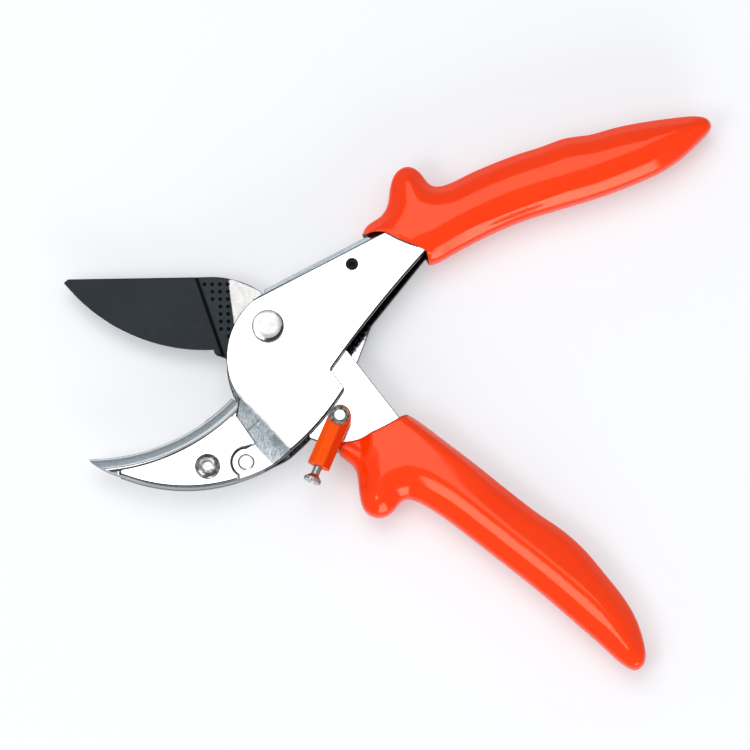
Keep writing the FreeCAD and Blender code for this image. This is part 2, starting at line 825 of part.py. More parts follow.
def hook_blade():
    outline = [
        arc(at("head_reach", -0.446, -0.514), at("head_reach", -0.799, -0.588)),
        line(at("head_reach", -0.786, -0.606)),
        arc(at("head_reach", -0.717, -0.649), at("head_reach", -0.646, -0.674)),
        arc(at("head_reach", -0.387, -0.728), at("head_reach", -0.128, -0.69)),
        line(at("head_reach", -0.052, -0.664)),
        line(at("head_reach", -0.039, -0.5)),
        line(at("head_reach", -0.121, -0.384)),
        line(at("head_reach", -0.132, -0.333)),
        line(at("head_reach", -0.161, -0.311)),
    ]
    holes = [
        (HOOK_SCREW, "Sizes.hook_screw_radius + Sizes.fit"),
        (HOOK_RIVET, "Sizes.rivet_radius"),
    ]
    blank = slab("hook_blank", outline, HOOK_BACK, "Sizes.hook_thickness", holes)
    bevel = cone(
        "hook_bevel_cone",
        HOOK_EDGE_CENTRE,
        HOOK_EDGE_RADIUS,
        f"{HOOK_EDGE_RADIUS} + Sizes.hook_bevel",
        f"{HOOK_BACK} + Sizes.hook_edge_land",
        "Sizes.hook_thickness - Sizes.hook_edge_land",
    )
    seam = "seam"
    tang_room = slab(
        "tang_room",
        [
            line(moved(PLATE_LEFT_LOW, seam, -0.5, 0.5)),
            line(moved(at("head_reach", -0.14, -0.406), seam, -0.5, -0.2)),
            line(moved(at("head_reach", -0.06, -0.525), seam, -0.5, -0.2)),
            line(moved(at("head_reach", -0.096, -0.546), seam, 0, 0.5)),
            arc(
                moved(at("head_reach", -0.16, -0.61), seam, -0.5, 0),
                moved(at("head_reach", -0.128, -0.666), seam, -0.3, -0.4),
            ),
            line(at("head_reach", -0.131, -0.893)),
            line(at("head_reach", 0.298, -0.893)),
            line(at("head_reach", 0.298, -0.327)),
        ],
        TAB_INSIDE,
        "Sizes.grip_thickness",
    )
    return cut_all("hook_blade", blank, [bevel, tang_room])


def hook_cover_plate():
    outline = [
        arc(at("head_reach", -0.393, -0.563), at("head_reach", -0.644, -0.646)),
        arc(at("head_reach", -0.656, -0.659), at("head_reach", -0.643, -0.671)),
        arc(at("head_reach", -0.387, -0.723), at("head_reach", -0.135, -0.688)),
        line(at("head_reach", -0.133, -0.674)),
        arc(at("head_reach", -0.164, -0.61), at("head_reach", -0.096, -0.542)),
        line(at("head_reach", -0.066, -0.531)),
        line(at("head_reach", -0.147, -0.415)),
        line(at("head_reach", -0.162, -0.4)),
    ]
    holes = [(HOOK_SCREW, "Sizes.hook_screw_radius + Sizes.fit")]
    return slab("hook_cover_plate", outline, HOOK_FACE, "Sizes.cover_thickness", holes)


def screw_with_socket():
    """The button-headed screw that clamps the cover and the hook, with a round socket in its head."""
    top = f"{COVER_FACE} + Sizes.hook_screw_head_height"
    floor = f"{top} - Sizes.hook_screw_socket_depth"
    return turned(
        "hook_screw",
        [
            line(("0", floor)),
            line(("0", f"{RAISED} - Sizes.hook_nut_height")),
            line(("Sizes.hook_screw_radius", f"{RAISED} - Sizes.hook_nut_height")),
            line(("Sizes.hook_screw_radius", COVER_FACE)),
            line(("Sizes.hook_screw_head_radius", COVER_FACE)),
            line(("Sizes.hook_screw_head_radius", f"{COVER_FACE} + 0.4 * Sizes.hook_screw_head_height")),
            arc(
                ("0.8 * Sizes.hook_screw_head_radius", f"{COVER_FACE} + 0.85 * Sizes.hook_screw_head_height"),
                ("Sizes.hook_screw_socket_radius", top),
            ),
            line(("Sizes.hook_screw_socket_radius", floor)),
        ],
        HOOK_SCREW,
    )


def hexagon_nut(name, centre, corner_radius, bore, bottom, height):
    corners = [line(polar(corner_radius, 60 * number, centre)) for number in range(6)]
    return slab(name, corners, bottom, height, [(centre, bore)])


def hook_rivet():
    """A rivet with both ends set flush and a shallow rim at the front."""
    return turned(
        "hook_rivet",
        [
            line(("0", RAISED)),
            line(("Sizes.rivet_radius", RAISED)),
            line(("Sizes.rivet_radius", TAB)),
            line(("Sizes.rivet_radius - Sizes.rivet_rim", f"{TAB} + Sizes.rivet_rim")),
            line(("0", f"{TAB} + Sizes.rivet_rim")),
        ],
        HOOK_RIVET,
    )


def pivot_bolt():
    """The headed pivot, with a thinner end for its nut and a low crowned head."""
    rim = f"{FRONT} + Sizes.bolt_head_rim"
    crown = f"{FRONT} + Sizes.bolt_head_height"
    return turned(
        "pivot_bolt",
        [
            line(("0", "Sizes.bolt_end_height")),
            line(("Sizes.bolt_end_radius", "Sizes.bolt_end_height")),
            line(("Sizes.bolt_end_radius", REAR)),
            line(("Sizes.bolt_radius", REAR)),
            line(("Sizes.bolt_radius", FRONT)),
            line(("Sizes.bolt_head_radius", FRONT)),
            line(("Sizes.bolt_head_radius", rim)),
            arc(
                ("0.8 * Sizes.bolt_head_radius", f"0.35 * ({rim}) + 0.65 * ({crown})"),
                ("0.5 * Sizes.bolt_head_radius", crown),
            ),
            line(("0", crown)),
        ],
    )


def pivot_washer(name, bottom):
    holes = [(PIVOT, "Sizes.washer_radius"), (PIVOT, "Sizes.bolt_radius + Sizes.fit")]
    return slab(name, None, bottom, "Sizes.washer", holes)


def spring_pin():
    """The rolled pin through both plates that holds the spring."""
    holes = [(PIN, "Sizes.pin_radius"), (PIN, "Sizes.pin_bore")]
    return slab("spring_pin", None, REAR, f"{FRONT} - ({REAR})", holes)


def spring_bar(name, end):
    """One straight leg of the spring. Its outer face leaves the coil at a tangent and ends at a point."""
    rim = value("Sizes.pin_radius + Sizes.seam + Sizes.spring_strip")
    reach = end.sub(vector(PIN))
    length = math.sqrt(reach.Length ** 2 - rim ** 2)
    angle = math.degrees(math.atan2(reach.y, reach.x) + math.atan2(rim, length))
    bar = doc.addObject("Part::Box", name)
    bar.Length = length
    bar.setExpression("Width", "Sizes.spring_strip")
    bar.setExpression("Height", "Sizes.spring_width")
    turn = FreeCAD.Rotation(FreeCAD.Vector(0, 0, 1), angle)
    corner = vector(PIN) + turn.multVec(FreeCAD.Vector(0, -rim, 0))
    corner.z = value(SPRING_BACK)
    bar.Placement = FreeCAD.Placement(corner, turn)
    return bar


def lever_contact():
    """Where the spring's long leg ends, a seam away from the lever's inner edge."""
    first, last = vector(LEVER_EDGE), vector(LEVER_EDGE_LOW)
    edge = last.sub(first)
    away = FreeCAD.Vector(-edge.y, edge.x, 0).normalize()
    return first + edge * 0.47 + away * value("Sizes.seam")


def return_spring():
    """A flat strip with one turn round the pin: one leg lies by the spine, one presses the lever."""
    coil = slab(
        "spring_coil",
        None,
        SPRING_BACK,
        "Sizes.spring_width",
        [
            (PIN, "Sizes.pin_radius + Sizes.seam + Sizes.spring_strip"),
            (PIN, "Sizes.pin_radius + Sizes.seam"),
        ],
    )
    spine_contact = vector(
        beside_spine("Sizes.head_reach * 0.334", f"{SPINE_DISTANCE} - Sizes.sheet - Sizes.seam")
    )
    long_leg = spring_bar("spring_long_leg", lever_contact())
    short_leg = spring_bar("spring_short_leg", spine_contact)
    return fused("return_spring", coil, long_leg, short_leg)


def latch_place(body, turn=None):
    """Puts a piece made along X on the stud, along the latch."""
    swing = FreeCAD.Rotation(FreeCAD.Vector(0, 0, 1), value("Sizes.latch_angle"))
    height = "0" if turn is None else f"{LATCH_BACK} + 0.5 * Sizes.latch_height"
    centre = vector(STUD)
    centre.z = value(height)
    body.Placement = FreeCAD.Placement(centre, swing.multiply(turn) if turn else swing)
    return body


def latch_lever():
    """The plastic bar round the stud: eight-sided, with a round end and a bore for its screw."""
    half = "0.5 * Sizes.latch_width"
    bar = slab(
        "latch_bar",
        [
            arc((f"-{half}", "0"), ("0", f"-{half}")),
            line(("Sizes.latch_length", f"-{half}")),
            line(("Sizes.latch_length", half)),
            line(("0", half)),
        ],
        LATCH_BACK,
        "Sizes.latch_height",
        [(("0", "0"), "Sizes.stud_radius + Sizes.fit")],
    )
    corner = "Sizes.latch_chamfer"
    low, high = LATCH_BACK, LATCH_FACE
    octagon = slab(
        "latch_octagon",
        [
            line((f"{half} - {corner}", low)),
            line((half, f"{low} + {corner}")),
            line((half, f"{high} - {corner}")),
            line((f"{half} - {corner}", high)),
            line((f"-{half} + {corner}", high)),
            line((f"-{half}", f"{high} - {corner}")),
            line((f"-{half}", f"{low} + {corner}")),
            line((f"-{half} + {corner}", low)),
        ],
        "-Sizes.latch_width",
        "2 * Sizes.latch_width + Sizes.latch_length",
    )
    octagon.Placement = FreeCAD.Placement(
        FreeCAD.Vector(0, 0, 0), FreeCAD.Rotation(FreeCAD.Vector(1, 1, 1), 120)
    )
    skin = common("latch_skin", bar, octagon)
    bore = doc.addObject("Part::Cylinder", "latch_bore")
    bore.setExpression("Radius", "Sizes.latch_screw_radius + Sizes.fit")
    bore.setExpression("Height", "Sizes.latch_screw_in + Sizes.latch_screw_spare")
    tilt = FreeCAD.Rotation(FreeCAD.Vector(0, 1, 0), 90)
    start = value("Sizes.latch_length - Sizes.latch_screw_in - Sizes.latch_screw_spare")
    middle = value(f"{LATCH_BACK} + 0.5 * Sizes.latch_height")
    bore.Placement = FreeCAD.Placement(FreeCAD.Vector(start, 0, middle), tilt)
    return latch_place(cut("latch_lever", skin, bore))


def latch_screw():
    """The adjusting screw in the free end of the latch, with a flat slotted head."""
    inner = "Sizes.latch_length - Sizes.latch_screw_in"
    neck = "Sizes.latch_length + Sizes.latch_screw_out"
    crown = f"{neck} + Sizes.latch_screw_head_height"
    body = turned(
        "latch_screw_turned",
        [
            line(("0", inner)),
            line(("Sizes.latch_screw_radius", inner)),
            line(("Sizes.latch_screw_radius", neck)),
            line(("Sizes.latch_screw_head_radius", f"{neck} + 0.6 * Sizes.latch_screw_head_height")),
            line(("Sizes.latch_screw_head_radius", crown)),
            line(("0", crown)),
        ],
    )
    slot = doc.addObject("Part::Box", "latch_screw_slot")
    slot.setExpression("Length", "2 * Sizes.latch_screw_head_radius")
    slot.setExpression("Width", "Sizes.latch_screw_slot")
    slot.setExpression("Height", "Sizes.latch_screw_slot")
    slot.setExpression("Placement.Base.x", "-Sizes.latch_screw_head_radius")
    slot.setExpression("Placement.Base.y", "-0.5 * Sizes.latch_screw_slot")
    slot.setExpression("Placement.Base.z", f"{crown} - Sizes.latch_screw_slot")
    tilt = FreeCAD.Rotation(FreeCAD.Vector(0, 1, 0), 90)
    return latch_place(cut("latch_screw", body, slot), tilt)


def latch_stud():
    """The post of the latch, headed under the lever's front plate."""
    under = f"{FLANGE_BACK} - Sizes.stud_head_height"
    return turned(
        "latch_stud",
        [
            line(("0", under)),
            line(("Sizes.stud_head_radius", under)),
            line(("Sizes.stud_head_radius", FLANGE_BACK)),
            line(("Sizes.stud_radius", FLANGE_BACK)),
            line(("Sizes.stud_radius", f"{LATCH_FACE} + Sizes.latch_ring_height + Sizes.stud_proud")),
            line(("0", f"{LATCH_FACE} + Sizes.latch_ring_height + Sizes.stud_proud")),
        ],
        STUD,
    )


def stud_ring(name, radius, bottom, height):
    holes = [(STUD, radius), (STUD, "Sizes.stud_radius")]
    return slab(name, None, bottom, height, holes)


def build():
    grip_core = slab("upper_grip_core", frame_outline(), REAR, f"{FRONT} - ({REAR})")
    nodes = [
        frame_channel(),
        upper_grip(grip_core),
        hook_blade(),
        hook_cover_plate(),
        screw_with_socket(),
        hexagon_nut(
            "hook_screw_nut",
            HOOK_SCREW,
            "hook_nut_corner_radius",
            "Sizes.hook_screw_radius + Sizes.fit",
            f"{RAISED} - Sizes.hook_nut_height",
            "Sizes.hook_nut_height",
        ),
        hook_rivet(),
        pivot_bolt(),
        hexagon_nut(
            "pivot_nut", PIVOT, "nut_corner_radius", "Sizes.bolt_end_radius + Sizes.fit", "0", REAR
        ),
        pivot_washer("front_washer", f"{FRONT_INSIDE} - Sizes.washer"),
        pivot_washer("rear_washer", REAR_INSIDE),
        spring_pin(),
        return_spring(),
        lever_channel(),
        lower_grip(lever_block("lower_grip_core")),
        cutting_blade(),
        blade_spacer(),
        blade_rivets(),
        latch_stud(),
        stud_ring("latch_collar", "Sizes.collar_radius", FLANGE_FACE, "Sizes.latch_collar"),
        latch_lever(),
        stud_ring("latch_ring", "Sizes.latch_ring_radius", f"{LATCH_FACE}", "Sizes.latch_ring_height"),
        latch_screw(),
    ]
    doc.recompute()
    return nodes


def check(nodes):
    for made in doc.Objects:
        if "Invalid" in made.State or "Error" in made.State:
            raise ValueError(f"{made.Label} failed: {made.State}")
    for node in nodes:
        if node.Shape.isNull() or not node.Shape.isValid():
            raise ValueError(f"{node.Label} has no valid shape")


def export(nodes):
    os.makedirs("parts", exist_ok=True)
    for node in nodes:
        solids = node.Shape.Solids
        print(f"{node.Label}: {len(solids)} solid, {sum(s.Volume for s in solids):.1f} cubic mm")
        node.Shape.exportStep(f"parts/{node.Label}.step")


nodes = build()
check(nodes)
export(nodes)
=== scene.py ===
"""Looks of the grafting pruner: finishes for its pieces, moulded grips, studio and camera.

Lengths in the tables are millimetres in the frame of the part. Objects are in metres.
"""

import json
import math

import bmesh
import bpy
import numpy as np
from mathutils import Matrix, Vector, geometry


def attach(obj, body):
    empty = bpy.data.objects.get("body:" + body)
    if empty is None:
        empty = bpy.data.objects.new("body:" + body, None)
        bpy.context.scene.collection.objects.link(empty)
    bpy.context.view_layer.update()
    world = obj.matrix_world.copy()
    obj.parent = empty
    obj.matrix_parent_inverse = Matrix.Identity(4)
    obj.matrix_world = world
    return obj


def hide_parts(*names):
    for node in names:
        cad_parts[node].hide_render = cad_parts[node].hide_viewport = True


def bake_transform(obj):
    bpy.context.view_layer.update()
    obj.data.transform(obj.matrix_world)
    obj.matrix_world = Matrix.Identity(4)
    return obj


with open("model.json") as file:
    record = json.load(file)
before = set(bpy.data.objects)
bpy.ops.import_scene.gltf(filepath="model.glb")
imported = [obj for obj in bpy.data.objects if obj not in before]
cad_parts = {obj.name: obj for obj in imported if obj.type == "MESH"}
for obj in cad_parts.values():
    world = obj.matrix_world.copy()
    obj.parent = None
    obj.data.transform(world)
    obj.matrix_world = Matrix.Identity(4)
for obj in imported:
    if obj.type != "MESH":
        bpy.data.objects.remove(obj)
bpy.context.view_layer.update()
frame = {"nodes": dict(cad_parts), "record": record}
MM = 0.001
NODES = frame["nodes"]


class Shader:
    """A node material that is put together step by step. Its places are in millimetres."""

    def __init__(self, name):
        self.material = bpy.data.materials.new(name)
        self.material.use_nodes = True
        self.tree = self.material.node_tree
        self.surface = self.tree.nodes["Principled BSDF"]
        metres = self.node("ShaderNodeTexCoord").outputs["Object"]
        self.place = self.vector("SCALE", metres, scale=1 / MM)
        self.flat = self.vector("MULTIPLY", self.place, (1, 1, 0))

    def node(self, kind, **settings):
        """A new node of a kind, with its settings."""
        made = self.tree.nodes.new(kind)
        for key, setting in settings.items():
            setattr(made, key, setting)
        return made

    def feed(self, socket, source):
        """Sets a socket to a number or colour, or links a node's output to it."""
        if isinstance(source, (int, float)):
            socket.default_value = source
        elif isinstance(source, tuple):
            room = len(socket.default_value)
            socket.default_value = (*source, 1.0)[:room]
        else:
            self.tree.links.new(source, socket)

    def set(self, **sockets):
        """Feeds the sockets of the surface. An underscore stands for a space in a name."""
        for name, source in sockets.items():
            self.feed(self.surface.inputs[name.replace("_", " ")], source)

    def vector(self, operation, first, second=None, scale=None):
        """The outcome of an operation on vectors."""
        made = self.node("ShaderNodeVectorMath", operation=operation)
        self.feed(made.inputs[0], first)
        if second is not None:
            self.feed(made.inputs[1], second)
        if scale is not None:
            made.inputs["Scale"].default_value = scale
        return made.outputs["Value" if operation in ("DISTANCE", "DOT_PRODUCT") else "Vector"]

    def math(self, operation, first, second=None, third=None):
        """The outcome of an operation on numbers."""
        made = self.node("ShaderNodeMath", operation=operation)
        for socket, source in zip(made.inputs, (first, second, third)):
            if source is not None:
                self.feed(socket, source)
        return made.outputs[0]

    def noise(self, spot, detail, stretch=None, turn=0.0):
        """Noise with spots so many millimetres wide, read at places that are stretched, then turned about Z."""
        texture = self.node("ShaderNodeTexNoise")
        texture.inputs["Scale"].default_value = 1.0 / spot
        texture.inputs["Detail"].default_value = detail
        texture.inputs["Roughness"].default_value = 0.55
        place = self.place
        if stretch:
            mapping = self.node("ShaderNodeMapping")
            mapping.inputs["Scale"].default_value = stretch
            mapping.inputs["Rotation"].default_value = (0, 0, math.radians(turn))
            self.feed(mapping.inputs["Vector"], place)
            place = mapping.outputs["Vector"]
        self.feed(texture.inputs["Vector"], place)
        return texture.outputs["Fac"]

    def ramp(self, factor, *stops):
        """A colour or grey that follows a factor. Each stop is a place and a colour or a grey."""
        made = self.node("ShaderNodeValToRGB")
        points = made.color_ramp.elements
        while len(points) < len(stops):
            points.new(0.5)
        for point, (place, colour) in zip(points, stops):
            point.position = place
            if isinstance(colour, (int, float)):
                colour = (colour,) * 3
            point.color = (*colour, 1.0)
        self.feed(made.inputs["Fac"], factor)
        return made.outputs["Color"]

    def tones(self, spot, detail, dark, light, stops=(0.3, 0.7), **way):
        """Two colours or greys that follow noise, and blend between two stops."""
        return self.ramp(self.noise(spot, detail, **way), (stops[0], dark), (stops[1], light))

    def ragged(self, distance, spot, detail, reach, **way):
        """A distance that noise makes uneven by up to a reach."""
        return self.math("MULTIPLY_ADD", self.noise(spot, detail, **way), reach, distance)

    def share(self, factor, start, end):
        """0 before start, 1 after end, and smooth between them."""
        made = self.node("ShaderNodeMapRange", interpolation_type="SMOOTHSTEP")
        self.feed(made.inputs["Value"], factor)
        made.inputs["From Min"].default_value = start
        made.inputs["From Max"].default_value = end
        return made.outputs["Result"]

    def both(self, *shares):
        """The product of several shares."""
        whole = shares[0]
        for share in shares[1:]:
            whole = self.math("MULTIPLY", whole, share)
        return whole

    def band(self, factor, rise, fall):
        """1 between a rise and a fall of the factor, and 0 outside them."""
        return self.both(self.share(factor, *rise), self.share(factor, *fall))

    def mix(self, factor, first, second, blend="MIX"):
        """The first colour where the factor is 0, and the second, or its blend, where it is 1."""
        made = self.node("ShaderNodeMix", data_type="RGBA", blend_type=blend)
        for socket, source in ((made.inputs[0], factor), (made.inputs[6], first), (made.inputs[7], second)):
            self.feed(socket, source)
        return made.outputs[2]

    def across(self, first, second):
        """How far a point lies to the left of the line from the first point to the second."""
        (ax, ay), (bx, by) = first, second
        long = math.hypot(bx - ax, by - ay)
        side = ((ay - by) / long, (bx - ax) / long)
        return self.math("SUBTRACT", self.along(side), side[0] * ax + side[1] * ay)

    def along(self, way):
        """How far a point lies from the pivot along a way in plan."""
        return self.vector("DOT_PRODUCT", self.flat, (*way, 0.0))

    def away(self, centre):
        """How far a point lies from an upright axis."""
        return self.vector("DISTANCE", self.flat, (*centre, 0.0))

    def outside(self, circle):
        """How far a point lies outside a circle in plan, which is a centre and a radius."""
        return self.math("SUBTRACT", self.away(circle[0]), circle[1])

    def height(self):
        """How high a point lies."""
        split = self.node("ShaderNodeSeparateXYZ")
        self.feed(split.inputs[0], self.place)
        return split.outputs["Z"]

    def upright(self):
        """1 on faces that look straight up or down, 0 on walls."""
        split = self.node("ShaderNodeSeparateXYZ")
        self.feed(split.inputs[0], self.node("ShaderNodeNewGeometry").outputs["True Normal"])
        return self.math("ABSOLUTE", split.outputs["Z"])

    def paint(self, share, colour):
        """Covers the tone with a colour where the share is 1."""
        self.tone = self.mix(share, self.tone, colour)
        self.set(Base_Color=self.tone)

    def bump(self, height, distance, strength, base=None):
        """A normal from a height whose full range is so many millimetres."""
        made = self.node("ShaderNodeBump")
        made.inputs["Distance"].default_value = distance * MM
        made.inputs["Strength"].default_value = strength
        self.feed(made.inputs["Height"], height)
        if base is not None:
            self.feed(made.inputs["Normal"], base)
        return made.outputs["Normal"]


# A material's gloss varies between these shares of its roughness.
ROUGHNESS_SPREAD = (0.8, 1.25)
# How upright the normal of a wall and of a face is, between which the tone of cut edges gives way.
WALL_TO_FACE = (0.05, 0.35)
FINE_GRAIN = (0.004, 0.5)


def uneven_gloss(made, spot, detail, roughness):
    """A roughness that noise varies about a mean."""
    low, high = ROUGHNESS_SPREAD
    made.set(Roughness=made.tones(spot, detail, roughness * low, roughness * high))


def worked(name, roughness, waves=0.0):
    """Worked metal without a tone: uneven gloss, fine grain and faint waves."""
    made = Shader(name)
    made.set(Metallic=1.0)
    uneven_gloss(made, 1.2, 3, roughness)
    fine = made.bump(made.noise(0.25, 3), *FINE_GRAIN)
    made.set(Normal=made.bump(made.noise(9, 2), waves, 1.0, fine) if waves else fine)
    return made


def metal(name, light, dark, roughness, wall=None, waves=0.0):
    """Worked metal in an uneven tone, whose cut edges can have another, darker one that is painted shade."""
    made = worked(name, roughness, waves)
    made.tone = made.tones(14, 5, dark, light)
    if wall:
        made.tone = made.mix(made.share(made.upright(), *WALL_TO_FACE), wall, made.tone)
    made.set(Base_Color=made.tone)
    return made


def plastic(name, light, dark, roughness, grain, depth, gloss):
    """Moulded plastic: slight change of tone, gloss and level, as in a dipped or moulded skin."""
    made = Shader(name)
    made.tone = made.tones(22, 4, dark, light)
    made.set(Base_Color=made.tone, Specular_IOR_Level=gloss)
    uneven_gloss(made, 3.3, 4, roughness)
    made.set(Normal=made.bump(made.noise(grain, 4), depth, 0.35))
    return made


# Tones that are used more than once: the light and the dark of plated steel, and the black of painted shadow
# along a cut.
PLATED = ((0.9, 0.91, 0.92), (0.86, 0.87, 0.88))
CUT_SHADOW_BLACK = (0.03, 0.03, 0.032)

# Places that the finishes follow. A line has two points, and a circle has a centre and a radius. SCREW,
# SCREW_WORN, STUD and COVER_END are centres, and TOWARDS_HOOK is a way. The other pairs of numbers say
# where a tone starts and where it is full: heights, distances along a way, or from a line or a circle.
TOWARDS_HOOK = (math.cos(math.radians(223)), math.sin(math.radians(223)))
SPINE_WAY = ((0.0, 0.0), (math.cos(math.radians(28)), math.sin(math.radians(28))))
SPINE_WALL = (8.4, 8.8)
FRONT_FACE = (13.2, 13.25)
REAR_FACE = (5.0, 4.5)
STEP_BEND = (20.1, 21.7)
CUT_EDGE = ((315.68, -215.9), 359.45)
CUT_STRIP = ((-0.4, -0.3), (0.55, 0.42))
CUT_RIGHT = (18.5, 18.7)
LEDGE_EDGE = ((-46.01, 22.89), 80.77)
LEDGE_STRIP = ((-0.66, -0.52), (0.4, 0.3))
LEDGE_RIGHT = (23.4, 23.2)
LEDGE_UP = (-11.0, -11.4)
STEP_SLOPE = (20.95, 21.05)
STEP_SHADE = (21.4, 28.0)
STEP_PATCHES = (((-6.6, -22.9), 1.9), ((3.2, -34.6), 2.1))
STEP_LINE = ((-6.5, -32.0), (-1.56, -27.9))
STEP_BORDER = ((-9.75, -27.55), (-4.3, -35.65))
REAR_INSIDE = (-2.6, -1.4)
REAR_END = (14.0, 12.0)
REAR_BRIGHT = ((31.6, 2.25), (25.1, -6.4))
REAR_LIT = (1.9, 0.9)
TAB = ((-6.6, -40.7), 6.3)


def frame_finish():
    """Plated steel with painted shade: dark cut edges, a darker fold and step, and a shaded, mottled rear plate.
    """
    made = metal("plated_steel", *PLATED, 0.16, wall=(0.04, 0.04, 0.042), waves=0.02)
    upright, height, step = made.upright(), made.height(), made.along(TOWARDS_HOOK)
    level = made.share(upright, 0.9, 0.95)
    # The spine's outer wall, and the round of the fold above it, which is painted a darker grey as a painted
    # reflection.
    spine = made.both(made.share(upright, 0.35, 0.05), made.share(made.across(*SPINE_WAY), *SPINE_WALL))
    made.paint(spine, made.tones(5.0, 4, (0.6, 0.63, 0.65), (0.72, 0.74, 0.76), (0.35, 0.65)))
    fold = made.band(upright, (0.6, 0.66), (0.8, 0.76))
    made.paint(fold, made.tones(1.6, 3, (0.5, 0.56, 0.6), (0.62, 0.68, 0.72), (0.35, 0.65)))
    # The front plate: painted shade on its bend above the step, and dark strips of painted shadow along the cut
    # edge and the ledge.
    top = made.both(made.share(height, *FRONT_FACE), level)
    bend = made.share(made.ragged(step, 3.0, 3, 1.6), *STEP_BEND)
    made.paint(made.both(top, bend), (0.25, 0.27, 0.28))
    cut, ledge = made.outside(CUT_EDGE), made.outside(LEDGE_EDGE)
    right, up = made.along((1, 0)), made.along((0, 1))
    strip = made.both(made.band(cut, *CUT_STRIP), made.share(right, *CUT_RIGHT))
    made.paint(made.both(top, strip), CUT_SHADOW_BLACK)
    strip = made.both(made.band(ledge, *LEDGE_STRIP), made.share(right, *LEDGE_RIGHT))
    made.paint(made.both(top, strip, made.share(up, *LEDGE_UP)), CUT_SHADOW_BLACK)
    # The step: streaks in a darker grey that is a painted reflection, with painted shade that darkens them near
    # its bend, and two dark patches and a dark stroke.
    slope = made.both(made.share(step, *STEP_SLOPE), made.band(upright, (0.7, 0.75), (0.93, 0.9)))
    streaks = made.tones(
        1.5, 5, (0.5, 0.55, 0.57), (0.78, 0.82, 0.84), (0.3, 0.6), stretch=(3, 1, 1), turn=-40
    )
    lit = made.share(made.ragged(step, 2.5, 3, 1.5), *STEP_SHADE)
    shade = made.mix(lit, (0.6, 0.62, 0.63), (1.0, 1.0, 1.0))
    made.paint(slope, made.mix(1.0, streaks, shade, "MULTIPLY"))
    for centre, size in STEP_PATCHES:
        patch = made.share(made.ragged(made.away(centre), 0.8, 3, 3.0), size + 1.9, size + 0.9)
        made.paint(made.both(slope, patch), (0.3, 0.33, 0.34))
    stroke = made.share(made.math("ABSOLUTE", made.across(*STEP_LINE)), 0.4, 0.15)
    made.paint(made.both(slope, stroke), (0.3, 0.34, 0.35))
    # The rear plate's inner face is in the dark between the plates: it is painted in a mottled painted shade,
    # which leaves a lit part beyond a line.
    rear = made.both(made.share(height, *REAR_FACE), level)
    inner = made.share(made.ragged(cut, 1.1, 4, 2.0, stretch=(1, 3, 1), turn=40), *REAR_INSIDE)
    marked_part = made.share(made.ragged(made.across(*REAR_BRIGHT), 1.3, 4, 2.4), *REAR_LIT)
    mottled = made.tones(0.9, 5, (0.006, 0.007, 0.008), (0.3, 0.33, 0.35), (0.45, 0.75))
    made.paint(made.both(rear, inner, made.share(step, *REAR_END), marked_part), mottled)
    return made


def edge_finish():
    """Cut edges: dark as painted shade, but grey along the fold and round the tab."""
    made = metal("dark_edge", (0.045, 0.047, 0.05), (0.025, 0.025, 0.027), 0.3)
    made.paint(made.share(made.across(*SPINE_WAY), *SPINE_WALL), (0.16, 0.18, 0.195))
    made.paint(made.share(made.outside(TAB), 0.0, -0.3), (0.33, 0.35, 0.36))
    return made


BLADE_EDGE = ((-19.0, 47.7), 53.8)
BLADE_EDGE_START = ((-16.3, 0), (-16.3, 1))
BLADE_FACE = (6.95, 6.85)
GROOVE = ((-21.7, 18.0), (-12.2, -10.0))
BARE_SIDE = ((-11.6, 12.5), (-10.15, 1.7))
BARE_TOP = ((-1.2, 11.85), (-8.2, 15.0))
BARE_CORNER = 3.2


def blade_finish():
    """Black coating with a ground edge, a bare heel, and a groove and dents made darker by painted shade."""
    made = Shader("coated_steel")
    coat = made.tones(16, 4, (0.006, 0.011, 0.017), (0.009, 0.015, 0.022), (0.35, 0.65))
    coat = made.mix(made.share(made.across(*GROOVE), 0.0, 1.2), coat, (0.014, 0.022, 0.026))
    # Painted shade: the groove and the dents, below the face, are darker.
    sunk = made.share(made.height(), *BLADE_FACE)
    coat = made.mix(sunk, coat, (0.0005, 0.001, 0.0015))
    heel = made.math("SMOOTH_MIN", made.across(*BARE_SIDE), made.across(*BARE_TOP), BARE_CORNER)
    heel = made.both(
        made.share(made.ragged(heel, 1.2, 2, 0.35), 0.0, 0.4), made.share(made.upright(), 0.97, 0.99)
    )
    edge = made.both(
        made.share(made.outside(BLADE_EDGE), -0.3, -0.12), made.share(made.across(*BLADE_EDGE_START), 0.0, 0.1)
    )
    bare = made.math("MAXIMUM", heel, edge)
    shine = made.tones(7, 5, (0.55, 0.535, 0.52), (0.62, 0.61, 0.59), (0.35, 0.65))
    made.set(Base_Color=made.mix(bare, coat, shine), Metallic=bare, Specular_IOR_Level=0.22)
    made.set(Roughness=made.mix(sunk, made.tones(1.1, 3, 0.34, 0.46), (0.95, 0.95, 0.95)))
    made.set(Normal=made.bump(made.noise(0.22, 3), *FINE_GRAIN))
    return made


HOOK_EDGE = ((-53.6, 19.06), 58.6)
HOOK_GROUND = (0.0, 3.7)
HOOK_RIDGE = (0.75, 0.35)
HOOK_POINT = ((-44.2, -60.0), (-44.9, -30.0))
COVER_EDGE = ((-53.99, 17.64), 61.97)
COVER_BRIGHT = ((-1.75, -1.45), (-0.6, -0.7))
COVER_GAP = ((-0.72, -0.58), (0.3, 0.1))
COVER_END = (-43.25, -44.25)
COVER_END_SIDE = ((-43.2, -50), (-43.2, 0))


